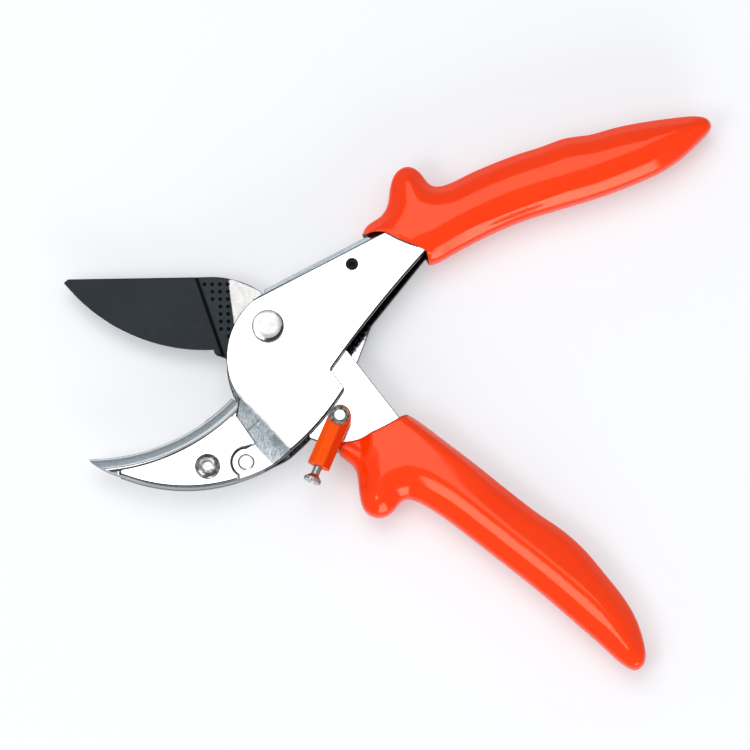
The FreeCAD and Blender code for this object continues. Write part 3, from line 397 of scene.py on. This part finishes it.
def hook_finish():
    """Steel that is ground grey along the edge and at its point, with painted highlights along the edge and
    beside the cover plate, and a painted shadow round the plate.
    """
    made = metal("ground_steel", (0.9, 0.91, 0.92), (0.84, 0.85, 0.86), 0.2, wall=(0.3, 0.31, 0.32))
    upright, inward, gap = made.upright(), made.outside(HOOK_EDGE), made.outside(COVER_EDGE)
    slope, flat = made.share(upright, 0.985, 0.96), made.share(upright, 0.985, 0.99)
    ground = made.mix(made.share(inward, *HOOK_GROUND), (0.45, 0.5, 0.52), (0.8, 0.85, 0.87))
    ground = made.mix(1.0, ground, made.tones(1.6, 5, 0.72, 1.0, stretch=(1, 5, 1), turn=-20), "MULTIPLY")
    made.paint(made.both(slope, made.share(upright, 0.3, 0.5)), ground)
    point = made.both(flat, made.share(made.across(*HOOK_POINT), 0.0, 0.5))
    made.paint(point, made.tones(1.2, 4, (0.13, 0.15, 0.155), (0.2, 0.22, 0.23)))
    # Painted highlights: bright rough strips along the ridge of the ground edge and beside the cover plate.
    # Painted shadow: a dark line round the plate and at its end.
    bright = made.math("MAXIMUM", made.band(gap, *COVER_BRIGHT), made.share(inward, *HOOK_RIDGE))
    bright = made.both(bright, made.share(upright, 0.5, 0.6))
    made.paint(bright, (0.96, 0.97, 0.98))
    rough = made.tones(1.2, 3, 0.16, 0.25)
    made.set(Roughness=made.mix(made.both(bright, slope), rough, (0.85, 0.85, 0.85)))
    end = made.both(
        made.share(made.away(COVER_END), 1.4, 1.25), made.share(made.across(*COVER_END_SIDE), -0.2, 0.0)
    )
    outline = made.math("MAXIMUM", made.band(gap, *COVER_GAP), end)
    made.paint(made.both(flat, outline), (0.035, 0.037, 0.04))
    return made


SCREW = (-18.01, -42.6)
SCREW_WORN = (-20.75, -45.3)
SCREW_SOCKET = (1.65, 1.4)
SCREW_HEAD = (5.0, 4.8)


def fastener_finish():
    """Plated, but for the hook's screw: browned and streaked, with a bright socket."""
    made = metal("fastener_steel", (0.6, 0.59, 0.58), (0.5, 0.49, 0.48), 0.25, wall=(0.1, 0.1, 0.1), waves=0.05)
    from_screw = made.away(SCREW)
    browned = made.ramp(
        made.noise(1.3, 4), (0.35, (0.09, 0.08, 0.07)), (0.5, (0.22, 0.205, 0.19)), (0.66, (0.52, 0.51, 0.49))
    )
    marked_part = made.share(made.away(SCREW_WORN), 1.5, 1.0)
    bright = made.math("MAXIMUM", made.share(from_screw, *SCREW_SOCKET), marked_part)
    screw = made.mix(bright, browned, (0.52, 0.515, 0.51))
    made.paint(made.share(from_screw, *SCREW_HEAD), screw)
    return made


PIVOT_RING = (2.9, 3.6)
PIVOT_CRESCENT = (3.85, 4.05)
PIVOT_LOWER = ((4.4, 0.4), (-1.6, -4.6))
PIVOT_BORDER = (4.25, 4.4)
PIVOT_RIGHT = ((2.0, 9.0), (2.6, -9.0))
PIVOT_RIM = (4.5, 4.65)
PIVOT_HEAD = (12.6, 12.0)


def pivot_finish():
    """A worn domed head, painted white on its slopes as painted light, with a dark rim of painted shade, which is
    wider at its lower right.
    """
    made = worked("pivot_steel", 0.24, waves=0.1)
    made.tone = made.tones(2.6, 5, (0.42, 0.41, 0.395), (0.52, 0.515, 0.5), (0.3, 0.65))
    out = made.away((0.0, 0.0))
    # Painted light: the slopes of the dome are painted white.
    made.paint(made.share(out, *PIVOT_RING), (0.93, 0.92, 0.9))
    # Painted shade: a dark crescent at the lower right, a border at the right, and the rim.
    lower = made.both(made.share(out, *PIVOT_CRESCENT), made.share(made.across(*PIVOT_LOWER), -0.2, 0.6))
    right = made.both(made.share(out, *PIVOT_BORDER), made.share(made.across(*PIVOT_RIGHT), 0.0, 1.0))
    rim = made.math("MAXIMUM", made.math("MAXIMUM", lower, right), made.share(out, *PIVOT_RIM))
    made.paint(rim, (0.09, 0.09, 0.085))
    made.paint(made.share(made.height(), *PIVOT_HEAD), (0.45, 0.44, 0.43))
    return made


STUD = (21.57, -28.43)
RUBBED_RING = ((2.75, 2.85), (3.6, 3.4))
RUBBED_SIDE = ((23.27, -25.43), (18.57, -29.43))
DEEPER_RED_SIDE = ((22.17, -28.43), (18.17, -38.43))


def dark_finish():
    """Blackened steel of the spring's pin, and the lighter worn ring of the latch."""
    made = worked("black_steel", 0.4)
    ring = made.tones(1.0, 4, (0.03, 0.028, 0.025), (0.24, 0.23, 0.2), (0.38, 0.62))
    near = made.share(made.away(STUD), 8.0, 7.0)
    made.set(Base_Color=made.mix(near, (0.014, 0.014, 0.014), ring))
    return made


def latch_finish():
    """The latch's plastic sleeve, rubbed grey round its post's ring and deeper red on its right side."""
    made = plastic("latch_plastic", (0.93, 0.084, 0.0008), (0.89, 0.074, 0.0004), 0.3, 1.4, 0.02, 0.05)
    out = made.away(STUD)
    rubbed = made.both(made.band(out, *RUBBED_RING), made.share(made.across(*RUBBED_SIDE), 0.3, -0.3))
    made.paint(rubbed, (0.2, 0.17, 0.14))
    # Deeper red on the faces that look up at its right side.
    deeper_red = made.both(made.share(made.across(*DEEPER_RED_SIDE), 0.2, 0.9), made.share(out, 2.8, 3.4))
    made.paint(made.both(deeper_red, made.share(made.upright(), 0.3, 0.5)), (0.72, 0.035, 0.001))
    return made


MATERIALS = {
    "plated_steel": frame_finish(),
    "ground_steel": hook_finish(),
    "coated_steel": blade_finish(),
    "fastener_steel": fastener_finish(),
    "pivot_steel": pivot_finish(),
    "black_steel": dark_finish(),
    "spring_steel": metal("spring_steel", (0.35, 0.34, 0.33), (0.2, 0.2, 0.2), 0.35),
    "brass": metal("brass", (0.75, 0.58, 0.28), (0.55, 0.4, 0.18), 0.3),
    "grip_plastic": plastic("grip_plastic", (0.97, 0.042, 0.0003), (0.95, 0.035, 0.0001), 0.13, 6.0, 0.01, 0.45),
    "latch_plastic": latch_finish(),
    "latch_screw_steel": metal("latch_screw_steel", (0.62, 0.6, 0.58), (0.3, 0.28, 0.26), 0.3, waves=0.3),
}
MATERIALS["grip_plastic"].set(Specular_Tint=(1.0, 0.9, 0.6))
OTHERS = {
    "hook_cover_plate": metal("cover_steel", *PLATED, 0.16, wall=(0.36, 0.37, 0.38), waves=0.02),
    "lever_channel": metal("lever_steel", *PLATED, 0.16, wall=(0.05, 0.05, 0.053), waves=0.02),
}
# Painted shade: the dark red of the grips' mouths and hollows.
MOUTH_SHADE = plastic("grip_inside_shade", (0.16, 0.006, 0.0005), (0.1, 0.004, 0.0003), 0.4, 1.4, 0.02, 0.1)
EDGES = {
    "dark": edge_finish(),
    "grey_shade": metal("grey_shade_edge", (0.4, 0.42, 0.43), (0.25, 0.26, 0.27), 0.3),
}
for entry in frame["record"]["subparts"]:
    item = NODES[entry["node"]]
    item.data.materials.clear()
    finish = OTHERS.get(entry["node"], MATERIALS[entry["material_slot"]])
    item.data.materials.append(finish.material)


# Rounded edges of the imported pieces: a width for each, and a darker tone of painted shade of their own where
# one is named.
SOFT_EDGES = (
    ("frame_channel", 0.28, "dark"),
    ("lever_channel", 0.28, "dark"),
    ("hook_cover_plate", 0.28, "dark"),
    ("hook_blade", 0.2, "grey_shade"),
    ("hook_rivet", 0.22, "grey_shade"),
    ("cutting_blade", 0.2, None),
)
# Metres within which points are one, and angles between faces in degrees.
SAME_PLACE = 1e-6
SAME_PLANE = 0.6
EDGE_ANGLE = 35
SPLIT_ANGLE = 20


def soften(name, width, edge):
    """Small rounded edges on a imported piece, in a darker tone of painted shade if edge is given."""
    item = NODES[name]
    item.modifiers.new("join", "WELD").merge_threshold = SAME_PLACE
    plain = item.modifiers.new("plain", "DECIMATE")
    plain.decimate_type = "DISSOLVE"
    plain.angle_limit = math.radians(SAME_PLANE)
    bevel = item.modifiers.new("edge", "BEVEL")
    bevel.width = width * MM
    bevel.segments = 2
    bevel.limit_method = "ANGLE"
    bevel.angle_limit = math.radians(EDGE_ANGLE)
    bevel.use_clamp_overlap = False
    if edge:
        item.data.materials.append(EDGES[edge].material)
        bevel.material = 1
    item.modifiers.new("split", "EDGE_SPLIT").split_angle = math.radians(SPLIT_ANGLE)
    item.modifiers.new("normals", "WEIGHTED_NORMAL")


for row in SOFT_EDGES:
    soften(*row)


def add_piece(name, mesh, *finishes):
    """A new object from a mesh in the making, with its finishes."""
    data = bpy.data.meshes.new(name)
    mesh.to_mesh(data)
    mesh.free()
    for finish in finishes:
        data.materials.append(finish.material)
    item = bpy.data.objects.new(name, data)
    bpy.context.scene.collection.objects.link(item)
    return item


def shade_smooth(item, angle):
    """Smooth shading, but for edges sharper than an angle in degrees."""
    item.data.shade_smooth()
    item.data.set_sharp_from_angle(angle=math.radians(angle))


# Moulded grips. Each rim is drawn round from one corner of the mouth to the other, and each room is
# the hollow in plan that the channel's shank fills.
UPPER_RIM = [
    (28.2, 29.6), (28.9, 31.9), (31.2, 33.3), (34.6, 35.6), (36.0, 39.0), (36.5, 44.3), (38.3, 49.0),
    (42.0, 50.8), (45.8, 48.9), (48.6, 44.5), (50.0, 43.9), (53.7, 44.9), (60.9, 48.5), (68.2, 51.7),
    (75.5, 54.5), (82.7, 56.8), (87.8, 58.9), (90.0, 59.5), (95.8, 60.1), (104.5, 62.6), (113.0, 64.3),
    (119.1, 65.2), (124.8, 65.9), (129.0, 66.2), (132.0, 65.9), (133.9, 64.7), (134.2, 62.9), (132.9, 61.4),
    (130.9, 59.3), (128.4, 56.9), (124.8, 53.4), (121.2, 50.8), (117.6, 48.6), (114.0, 46.9), (106.8, 43.9),
    (99.6, 41.2), (90.0, 38.2), (75.5, 33.5), (60.9, 26.6), (53.7, 22.5), (50.1, 20.4), (48.4, 20.3),
]
UPPER_MOUTH = [(47.6, 22.9), (42.0, 25.6), (38.4, 27.2), (34.0, 29.2), (31.2, 29.2), (29.6, 28.7)]
UPPER_ROOM = [
    (8.0, 16.6), (37.25, 32.2), (56.0, 40.3), (110.2, 58.4), (112.2, 50.9), (52.5, 27.6), (47.7, 23.0),
    (40.0, 15.0), (10.0, 0.0),
]
LOWER_RIM = [
    (42.6, -26.4), (45.3, -28.3), (54.2, -35.1), (63.0, -41.9), (72.5, -49.7), (81.8, -57.0), (88.2, -61.4),
    (94.7, -67.3), (101.0, -75.0), (106.1, -81.5), (110.0, -88.0), (112.2, -94.5), (113.1, -98.9),
    (113.1, -101.8), (112.0, -103.7), (109.7, -104.5), (106.1, -102.4), (98.6, -95.5), (94.6, -92.0),
    (88.1, -86.2), (78.6, -78.0), (69.1, -70.4), (59.6, -62.8), (50.2, -55.7), (43.9, -52.1), (41.3, -51.3),
    (40.1, -52.1), (37.6, -55.9), (35.6, -57.3), (32.3, -57.7), (29.0, -56.0), (27.5, -51.2), (26.8, -44.2),
    (26.5, -42.2), (24.3, -40.5), (21.6, -38.6),
]
LOWER_MOUTH = [(21.5, -35.9), (26.4, -34.4), (31.2, -32.6), (36.0, -30.2), (40.6, -27.5)]
LOWER_ROOM = [
    (30.0, -15.0), (39.7, -27.6), (41.7, -30.4), (99.1, -77.9), (93.4, -84.6), (52.0, -51.7), (33.0, -42.7),
    (24.0, -38.1), (12.6, -34.0), (8.0, -20.0),
]
GRIP_MIDDLE = 7.5

# The points of a grip's mesh in plan: a step along the rim, rings at distances from it, a ring beside
# the mouth, and an even field with its own steps. A ring's point is kept if it has nearly its ring's
# distance from the rim and stays clear of the outline and of the points before it. The rings nearer
# than DENSE_RINGS needn't keep clear of those points. Points nearer to the rim than ON_RIM lie on it.
RIM_STEP = 0.9
RINGS = (0.15, 0.5, 1.0, 1.7, 2.4, 3.0, 3.6, 4.2, 5.0, 7.2, 8.0, 8.8)
RING_SHARE = 0.985
DENSE_RINGS = 0.4
LIP = 0.3
FIELD_STEPS = (1.2, 1.04)
OUTLINE_GAP = 0.12
RING_GAP_SQUARED = 0.12
FIELD_GAPS = (0.7, 1.0)
LOOK_BACK = 900
ON_RIM = 1e-4

# The side of a grip rises with a rounded foot. Its ridges are softened on a grid of heights, which
# takes over from the plain profile at some distance from the rim. Over the core it stays thick, also
# on a ledge round it, and falls beyond that. Beside the mouth it is a little lower, and a strip there
# can be dark, as painted shadow.
FOOT = 0.12
FOOT_SHARE = 0.43
GRID_STEP = 0.5
GRID_MARGIN = 6
SOFTENINGS = 6
SOFT_START = 1.0
SOFT_WIDTH = 1.4
CORE_LEDGE = 0.4
CORE_SLOPE = 1.6
LIP_DROP = 0.25
LIP_STRIP = 0.32


def even_out(values):
    """Evens values out along their first axis, but for the ends, in place."""
    values[1:-1] = 0.25 * values[:-2] + 0.5 * values[1:-1] + 0.25 * values[2:]


def eased(t):
    """A rise from 0 to 1 that is slow at both ends."""
    t = np.clip(t, 0, 1)
    return t * t * (3 - 2 * t)


def smooth_curve(points, rounds):
    """Points about a step apart on a smooth curve through the given ones."""
    knots = np.array(points, float)
    gaps = np.linalg.norm(np.diff(knots, axis=0), axis=1)
    slopes = np.diff(knots, axis=0) / gaps[:, None]
    ways = np.vstack([slopes[:1], slopes[:-1] * 0, slopes[-1:]])
    before, after = gaps[:-1, None], gaps[1:, None]
    ways[1:-1] = (slopes[:-1] * after + slopes[1:] * before) / (before + after)
    made = []
    for index, gap in enumerate(gaps):
        for t in np.arange(0, 1, 1 / max(1, round(gap / RIM_STEP))):
            made.append(
                (2 * t**3 - 3 * t**2 + 1) * knots[index]
                + (t**3 - 2 * t**2 + t) * gap * ways[index]
                + (3 * t**2 - 2 * t**3) * knots[index + 1]
                + (t**3 - t**2) * gap * ways[index + 1]
            )
    made.append(knots[-1])
    made = np.array(made)
    for _ in range(rounds):
        even_out(made)
    return made


def gap_to(points, line):
    """The distance of each point from a line of points."""
    start, along = line[:-1], np.diff(line, axis=0)
    share = ((points[:, None] - start) * along).sum(2) / (along**2).sum(1)
    nearest = start + np.clip(share, 0, 1)[..., None] * along
    return np.sqrt(((points[:, None] - nearest) ** 2).sum(2)).min(1)


def inside(points, outline):
    """Which points lie inside an outline."""
    x, y = points[:, 0, None], points[:, 1, None]
    (ax, ay), (bx, by) = outline.T, np.roll(outline, -1, 0).T
    crossed = ((ay > y) != (by > y)) & (x < (bx - ax) * (y - ay) / (by - ay + 1e-12) + ax)
    return crossed.sum(1) % 2 == 1


def inwards(line):
    """Unit steps from the points of a line towards its left."""
    ahead = np.gradient(line, axis=0)
    return np.stack([-ahead[:, 1], ahead[:, 0]], 1) / np.linalg.norm(ahead, axis=1)[:, None]


def plan_points(rim, lip, outline):
    """Points inside a grip's outline: rings that crowd towards the rim and its ridges, and an even field."""
    way = 1 if inside((rim + LIP * inwards(rim))[10:11], outline)[0] else -1
    closed = np.vstack([outline, outline[:1]])
    kept = [tuple(point) for point in (lip + way * LIP * inwards(lip))[1:-1]]
    for offset in RINGS:
        ring = rim + way * offset * inwards(rim)
        good = inside(ring, outline) & (gap_to(ring, rim) > RING_SHARE * offset)
        good &= gap_to(ring, closed) > OUTLINE_GAP
        for point in ring[good]:
            others = kept[-LOOK_BACK:]
            if offset < DENSE_RINGS or all(
                (point[0] - x) ** 2 + (point[1] - y) ** 2 > RING_GAP_SQUARED for x, y in others
            ):
                kept.append(tuple(point))
    rings = np.array(kept)
    low, high = outline.min(0), outline.max(0)
    xs, ys = (np.arange(low[axis], high[axis], FIELD_STEPS[axis]) for axis in (0, 1))
    field = np.array([(x + 0.5 * FIELD_STEPS[0] * (row % 2), y) for row, y in enumerate(ys) for x in xs])
    field = field[inside(field, outline)]
    field = field[gap_to(field, closed) > FIELD_GAPS[0]]
    near = np.array([np.abs(rings - point).sum(1).min() for point in field])
    return np.vstack([rings, field[near > FIELD_GAPS[1]]])


def profile(gap, ridges):
    """Half the thickness of a grip at a distance from its rim: a bevelled side, a slope, and a flat top."""
    (side, shoulder), (crest, top) = ridges
    t = np.clip(gap / side, 0, 1)
    slope = np.clip((gap - side) / (crest - side), 0, 1)
    foot = FOOT_SHARE * np.clip(t / FOOT, 0, 1) ** 0.5
    return shoulder * (foot + (1 - FOOT_SHARE) * t) + (top - shoulder) * slope


def swell(points, gap, rim, ridges, core, limit, near):
    """Half thicknesses at points: softened ridges, thick enough over the core, and under a limit."""
    low, high = rim.min(0) - GRID_MARGIN, rim.max(0) + GRID_MARGIN
    xs, ys = (np.arange(low[axis], high[axis], GRID_STEP) for axis in (0, 1))
    field = []
    for y in ys:
        row = np.stack([xs, np.full(len(xs), y)], 1)
        rise = profile(near(row, rim), ridges)
        if limit:
            rise = np.minimum(rise, limit(row))
        if core:
            room, half = core
            over = np.where(inside(row, room), 0, gap_to(row, np.vstack([room, room[:1]])))
            rise = np.maximum(rise, half - CORE_SLOPE * np.maximum(over - CORE_LEDGE, 0))
        field.append(rise)
    field = np.array(field)
    for _ in range(SOFTENINGS):
        even_out(field)
        even_out(field.T)
    place = (points - low) / GRID_STEP
    whole = place.astype(int)
    (i, j), (u, v) = whole.T, (place - whole).T
    soft = (field[j, i] * (1 - u) + field[j, i + 1] * u) * (1 - v)
    soft = soft + (field[j + 1, i] * (1 - u) + field[j + 1, i + 1] * u) * v
    t = eased((gap - SOFT_START) / SOFT_WIDTH)
    return profile(gap, ridges) * (1 - t) + soft * t


def grip(name, body, node, rim, mouth, room, levels, ridges, core=None, dip=None, limit=None, near=gap_to):
    """A grip that swells from its rim, is flat cut at its mouth, and is hollow where its core goes in.

    With a dip its top is lower there, and its mouth has a dark edge instead of a dark face, both painted shade.
    """
    rim = smooth_curve(rim, 9)
    mouth = smooth_curve([rim[-1], *mouth, rim[0]], 1)[1:-1]
    outline = np.vstack([rim, mouth])
    lip = np.vstack([rim[-1:], mouth, rim[:1]])
    points = np.vstack([outline, plan_points(rim, lip, outline)])
    edges = [(i, (i + 1) % len(outline)) for i in range(len(outline))]
    plan = geometry.delaunay_2d_cdt([Vector(p) for p in points], edges, [], 1, 1e-5)
    points, faces = np.array([tuple(p) for p in plan[0]]), plan[2]
    gap, from_lip = near(points, rim), gap_to(points, lip)
    rise = swell(points, gap, rim, ridges, core, limit, near)
    drop = LIP_DROP * np.clip(1 - from_lip / LIP, 0, 1)
    top = np.minimum(rise, dip(points)) - drop if dip else rise - drop
    bottom = rise - drop
    edge = (from_lip < LIP_STRIP) & bool(dip)
    shared = gap < ON_RIM
    top = np.where(shared, 0, top)
    mesh = bmesh.new()
    upper = [mesh.verts.new((x * MM, y * MM, (GRIP_MIDDLE + h) * MM)) for (x, y), h in zip(points, top)]
    lower = [
        upper[i] if shared[i] else mesh.verts.new((x * MM, y * MM, (GRIP_MIDDLE - bottom[i]) * MM))
        for i, (x, y) in enumerate(points)
    ]
    sides = set()
    for a, b, c in faces:
        for corners in ((upper[a], upper[b], upper[c]), (lower[c], lower[b], lower[a])):
            mesh.faces.new(corners).material_index = int(edge[a] and edge[b] and edge[c])
        sides.update(((a, b), (b, c), (c, a)))
    for a, b in sorted(sides):
        if (b, a) not in sides and not (shared[a] and shared[b]):
            corners = [upper[b], upper[a], lower[a], lower[b]]
            corners = [v for i, v in enumerate(corners) if v not in corners[:i]]
            mesh.faces.new(corners).material_index = int(not dip)
    bmesh.ops.recalc_face_normals(mesh, faces=mesh.faces)
    # The second finish is painted shade, on the mouth and on the walls of the room.
    item = add_piece(name, mesh, MATERIALS["grip_plastic"], MOUTH_SHADE)
    hollow_out(item, room, levels)
    shade_smooth(item, 50)
    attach(item, body)
    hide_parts(node)


def hollow_out(item, outline, levels):
    """Cuts a straight-sided room between two heights out of a piece, with walls in its second finish."""
    mesh = bmesh.new()
    rings = [[mesh.verts.new((x * MM, y * MM, z * MM)) for x, y in outline] for z in levels]
    mesh.faces.new(rings[0])
    mesh.faces.new(rings[1])
    for i in range(len(outline)):
        j = (i + 1) % len(outline)
        mesh.faces.new((rings[0][i], rings[0][j], rings[1][j], rings[1][i]))
    bmesh.ops.recalc_face_normals(mesh, faces=mesh.faces)
    for face in mesh.faces:
        face.material_index = 1
    cutter = add_piece("room", mesh)
    bite = item.modifiers.new("room", "BOOLEAN")
    bite.operation = "DIFFERENCE"
    bite.solver = "EXACT"
    bite.object = cutter
    bpy.context.view_layer.update()
    view = bpy.context.evaluated_depsgraph_get()
    item.data = bpy.data.meshes.new_from_object(item.evaluated_get(view))
    item.modifiers.clear()
    bpy.data.objects.remove(cutter)


# The lower grip's nose under the latch: the line of its crest, half thicknesses there and at its
# sides, how fast it falls, and where along X and by how much it rises to the grip.
NOSE_CREST = ((21.5, -37.0), (31.0, -41.3))
NOSE_TOP = 4.75
NOSE_SIDES = 3.9
NOSE_FALL = 0.11
NOSE_END = 27.5
NOSE_WIDTH = 4.2
NOSE_RISE = 3.6


def nose_dip(points):
    """The lower grip's nose is a low round ridge, which stays under the latch's sleeve."""
    (ax, ay), (bx, by) = NOSE_CREST
    off = (points[:, 0] - ax) * (by - ay) - (points[:, 1] - ay) * (bx - ax)
    off = off / math.hypot(bx - ax, by - ay)
    ridge = np.maximum(NOSE_TOP - NOSE_FALL * off**2, NOSE_SIDES)
    return ridge + NOSE_RISE * eased((points[:, 0] - NOSE_END) / NOSE_WIDTH)


# The lower grip's top is wide near the mouth: how much, and from where to where along X it narrows.
WIDE_TOP = 1.3
WIDE_START = 45.0
WIDE_LENGTH = 28.0


def lower_gap(points, rim):
    """Distances from the lower grip's rim, stretched at its upper side near the mouth."""
    tip = int(np.argmin(rim[:, 1]))
    stretch = 1 + WIDE_TOP - WIDE_TOP * eased((points[:, 0] - WIDE_START) / WIDE_LENGTH)
    return np.minimum(gap_to(points, rim[tip:]), gap_to(points, rim[: tip + 1]) * stretch)


# The lower grip's lean: its rim on the lower side, the distance from it that stays level, the half
# thickness there, the slope beyond, and where along X it sets in.
LOWER_SIDE = np.array(LOWER_RIM[15:])
LEVEL_WIDTH = 7.6
LEVEL_TOP = 7.45
LEAN = 0.24
LEAN_START = 40.0
LEAN_LENGTH = 38.0


def leaning(points):
    """The lower grip's top falls more and more towards its upper side on the way to the tip."""
    lean = LEAN * eased((points[:, 0] - LEAN_START) / LEAN_LENGTH)
    return LEVEL_TOP - lean * np.maximum(gap_to(points, LOWER_SIDE) - LEVEL_WIDTH, 0)


# The two grips. A room reaches from one height to another. Ridges are distances from the rim, each with
# the half thickness there, and a core is a room with the half thickness over it.
grip(
    "upper_grip_skin", "frame", "upper_grip", UPPER_RIM, UPPER_MOUTH, UPPER_ROOM, (1.65, 13.35),
    ridges=((4.2, 6.4), (8.1, 7.5)), core=(np.array(UPPER_ROOM), 6.2),
)
grip(
    "lower_grip_skin", "lever", "lower_grip", LOWER_RIM, LOWER_MOUTH, LOWER_ROOM, (3.95, 11.05),
    ridges=((3.5, 5.6), (7.6, 7.3)), dip=nose_dip, limit=leaning, near=lower_gap,
)

# The step's lip: half its width, its lower and upper height, and the size of its rounded edges.
STEP_LIP_HALF = 0.42
STEP_LIP_HEIGHTS = (10.1, 11.47)
STEP_LIP_ROUND = 0.12


def step_lip():
    """The bright lip in which the frame's step ends beside the hook's cover plate."""
    start, end = (Vector(point) for point in STEP_BORDER)
    side = (end - start).orthogonal().normalized() * STEP_LIP_HALF
    low, high = STEP_LIP_HEIGHTS
    mesh = bmesh.new()
    plan = (start + side, start - side, end - side, end + side)
    base = mesh.faces.new([mesh.verts.new((p.x * MM, p.y * MM, low * MM)) for p in plan])
    raised = bmesh.ops.extrude_face_region(mesh, geom=[base])["geom"]
    for vert in (part for part in raised if isinstance(part, bmesh.types.BMVert)):
        vert.co.z = high * MM
    bmesh.ops.recalc_face_normals(mesh, faces=mesh.faces)
    bmesh.ops.bevel(mesh, geom=mesh.edges, offset=STEP_LIP_ROUND * MM, segments=2, affect="EDGES")
    steel = metal("lip_steel", (0.9, 0.91, 0.92), (0.8, 0.82, 0.84), 0.2, waves=0.02)
    item = add_piece("step_lip", mesh, steel)
    shade_smooth(item, 35)
    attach(item, "frame")


step_lip()

# Edges of the spring's mesh that are longer than this are divided.
SPRING_SEGMENT = 1.5


def spring():
    """The bent leaf spring."""
    mesh = bmesh.new()
    mesh.from_mesh(NODES["return_spring"].data)
    bmesh.ops.remove_doubles(mesh, verts=mesh.verts, dist=SAME_PLACE)
    bmesh.ops.dissolve_limit(mesh, angle_limit=math.radians(SAME_PLANE), verts=mesh.verts, edges=mesh.edges)
    bmesh.ops.triangulate(mesh, faces=mesh.faces)
    for _ in range(3):
        long = [edge for edge in mesh.edges if edge.calc_length() > SPRING_SEGMENT * MM]
        bmesh.ops.subdivide_edges(mesh, edges=long, cuts=1)
        bmesh.ops.triangulate(mesh, faces=mesh.faces)
    item = add_piece("spring_leaf", mesh, MATERIALS["spring_steel"])
    shade_smooth(item, 40)
    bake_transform(item)
    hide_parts("return_spring")


spring()

# The studio, in metres. The world blends from a colour at the horizon to another high up.
WORLD = ((0.0, (0.52, 0.56, 0.6)), (0.8, (0.42, 0.44, 0.47)))
LAMP_TINT = (1.0, 0.995, 0.99)
FLOOR_TONES = ((0.63, 0.635, 0.65), (0.64, 0.645, 0.66))
FLOOR_GLOW = 0.29
FLOOR_HALF = 3.0
FLOOR_LEVEL = -0.0002


def studio():
    """Soft grey surroundings with four lamps."""
    world = bpy.data.worlds.new("studio")
    bpy.context.scene.world = world
    world.use_nodes = True
    tree = world.node_tree
    background = tree.nodes["Background"]
    place = tree.nodes.new("ShaderNodeTexCoord")
    split = tree.nodes.new("ShaderNodeSeparateXYZ")
    ramp = tree.nodes.new("ShaderNodeValToRGB")
    tree.links.new(place.outputs["Generated"], split.inputs[0])
    tree.links.new(split.outputs["Z"], ramp.inputs["Fac"])
    for stop, (height, colour) in zip(ramp.color_ramp.elements, WORLD):
        stop.position, stop.color = height, (*colour, 1)
    tree.links.new(ramp.outputs["Color"], background.inputs["Color"])
    background.inputs["Strength"].default_value = 1.0

    lamp("overhead", (-0.24, 0.5, 1.2), (1.02, 0.9), 1.9)
    lamp("fill", (-0.1, 0.2, 1.35), (1.7, 1.5), 0.45).visible_glossy = False
    lamp("left", (-0.645, -0.547, 1.225), (0.7, 0.5), 4.3, aim=(0.07, -0.07, 0.0))
    lamp("front", (0.48, -1.18, 0.36), (0.9, 0.5), 5.0, aim=(0.08, 0.03, 0.0))


def lamp(name, place, sides, radiance, aim=None):
    """A soft rectangular lamp that looks down, or at a point."""
    data = bpy.data.lights.new(name, "AREA")
    data.shape = "RECTANGLE"
    data.size, data.size_y = sides
    data.energy = radiance * math.pi * data.size * data.size_y
    data.color = LAMP_TINT
    holder = bpy.data.objects.new(name, data)
    holder.location = place
    if aim:
        holder.rotation_euler = (Vector(aim) - Vector(place)).to_track_quat("-Z", "Y").to_euler()
    holder.visible_camera = False
    bpy.context.scene.collection.objects.link(holder)
    return holder


def floor():
    """A pale floor that glows a little where it is seen, so that it is white and keeps its shadows."""
    made = Shader("floor")
    made.set(Base_Color=made.tones(300, 3, *FLOOR_TONES), Roughness=0.9, Specular_IOR_Level=0.2)
    rays = made.node("ShaderNodeLightPath")
    seen = made.math("MAXIMUM", rays.outputs["Is Camera Ray"], rays.outputs["Is Glossy Ray"])
    seen = made.math("MAXIMUM", seen, rays.outputs["Is Transmission Ray"])
    made.set(Emission_Color=(1.0, 1.0, 1.0), Emission_Strength=made.math("MULTIPLY", seen, FLOOR_GLOW))
    half = FLOOR_HALF
    mesh = bpy.data.meshes.new("floor")
    mesh.from_pydata([(-half, -half, 0), (half, -half, 0), (half, half, 0), (-half, half, 0)], [], [(0, 1, 2, 3)])
    mesh.materials.append(made.material)
    item = bpy.data.objects.new("floor", mesh)
    item.location.z = FLOOR_LEVEL
    bpy.context.scene.collection.objects.link(item)


# The camera: its sensor in millimetres, its distance and the width that it sees in metres, the middle
# of its view in millimetres, and its tilt.
SENSOR = 36.0
CAMERA_DISTANCE = 4.0
VIEW_WIDTH = 0.225
VIEW_MIDDLE = (32.1, -13.64, 7.5)
CAMERA_TILT = math.radians(13.0)


def camera():
    """Seen from high up and slightly from below the picture, from far away with a long lens."""
    data = bpy.data.cameras.new("camera")
    data.sensor_width = SENSOR
    data.lens = SENSOR * CAMERA_DISTANCE / VIEW_WIDTH
    data.clip_start, data.clip_end = 0.5, 20.0
    item = bpy.data.objects.new("camera", data)
    way = Vector((0, -math.sin(CAMERA_TILT), math.cos(CAMERA_TILT)))
    item.location = Vector(VIEW_MIDDLE) * MM + CAMERA_DISTANCE * way
    item.rotation_euler = (CAMERA_TILT, 0, 0)
    bpy.context.scene.collection.objects.link(item)
    bpy.context.scene.camera = item


studio()
floor()
camera()
bpy.context.scene.view_settings.view_transform = "Standard"
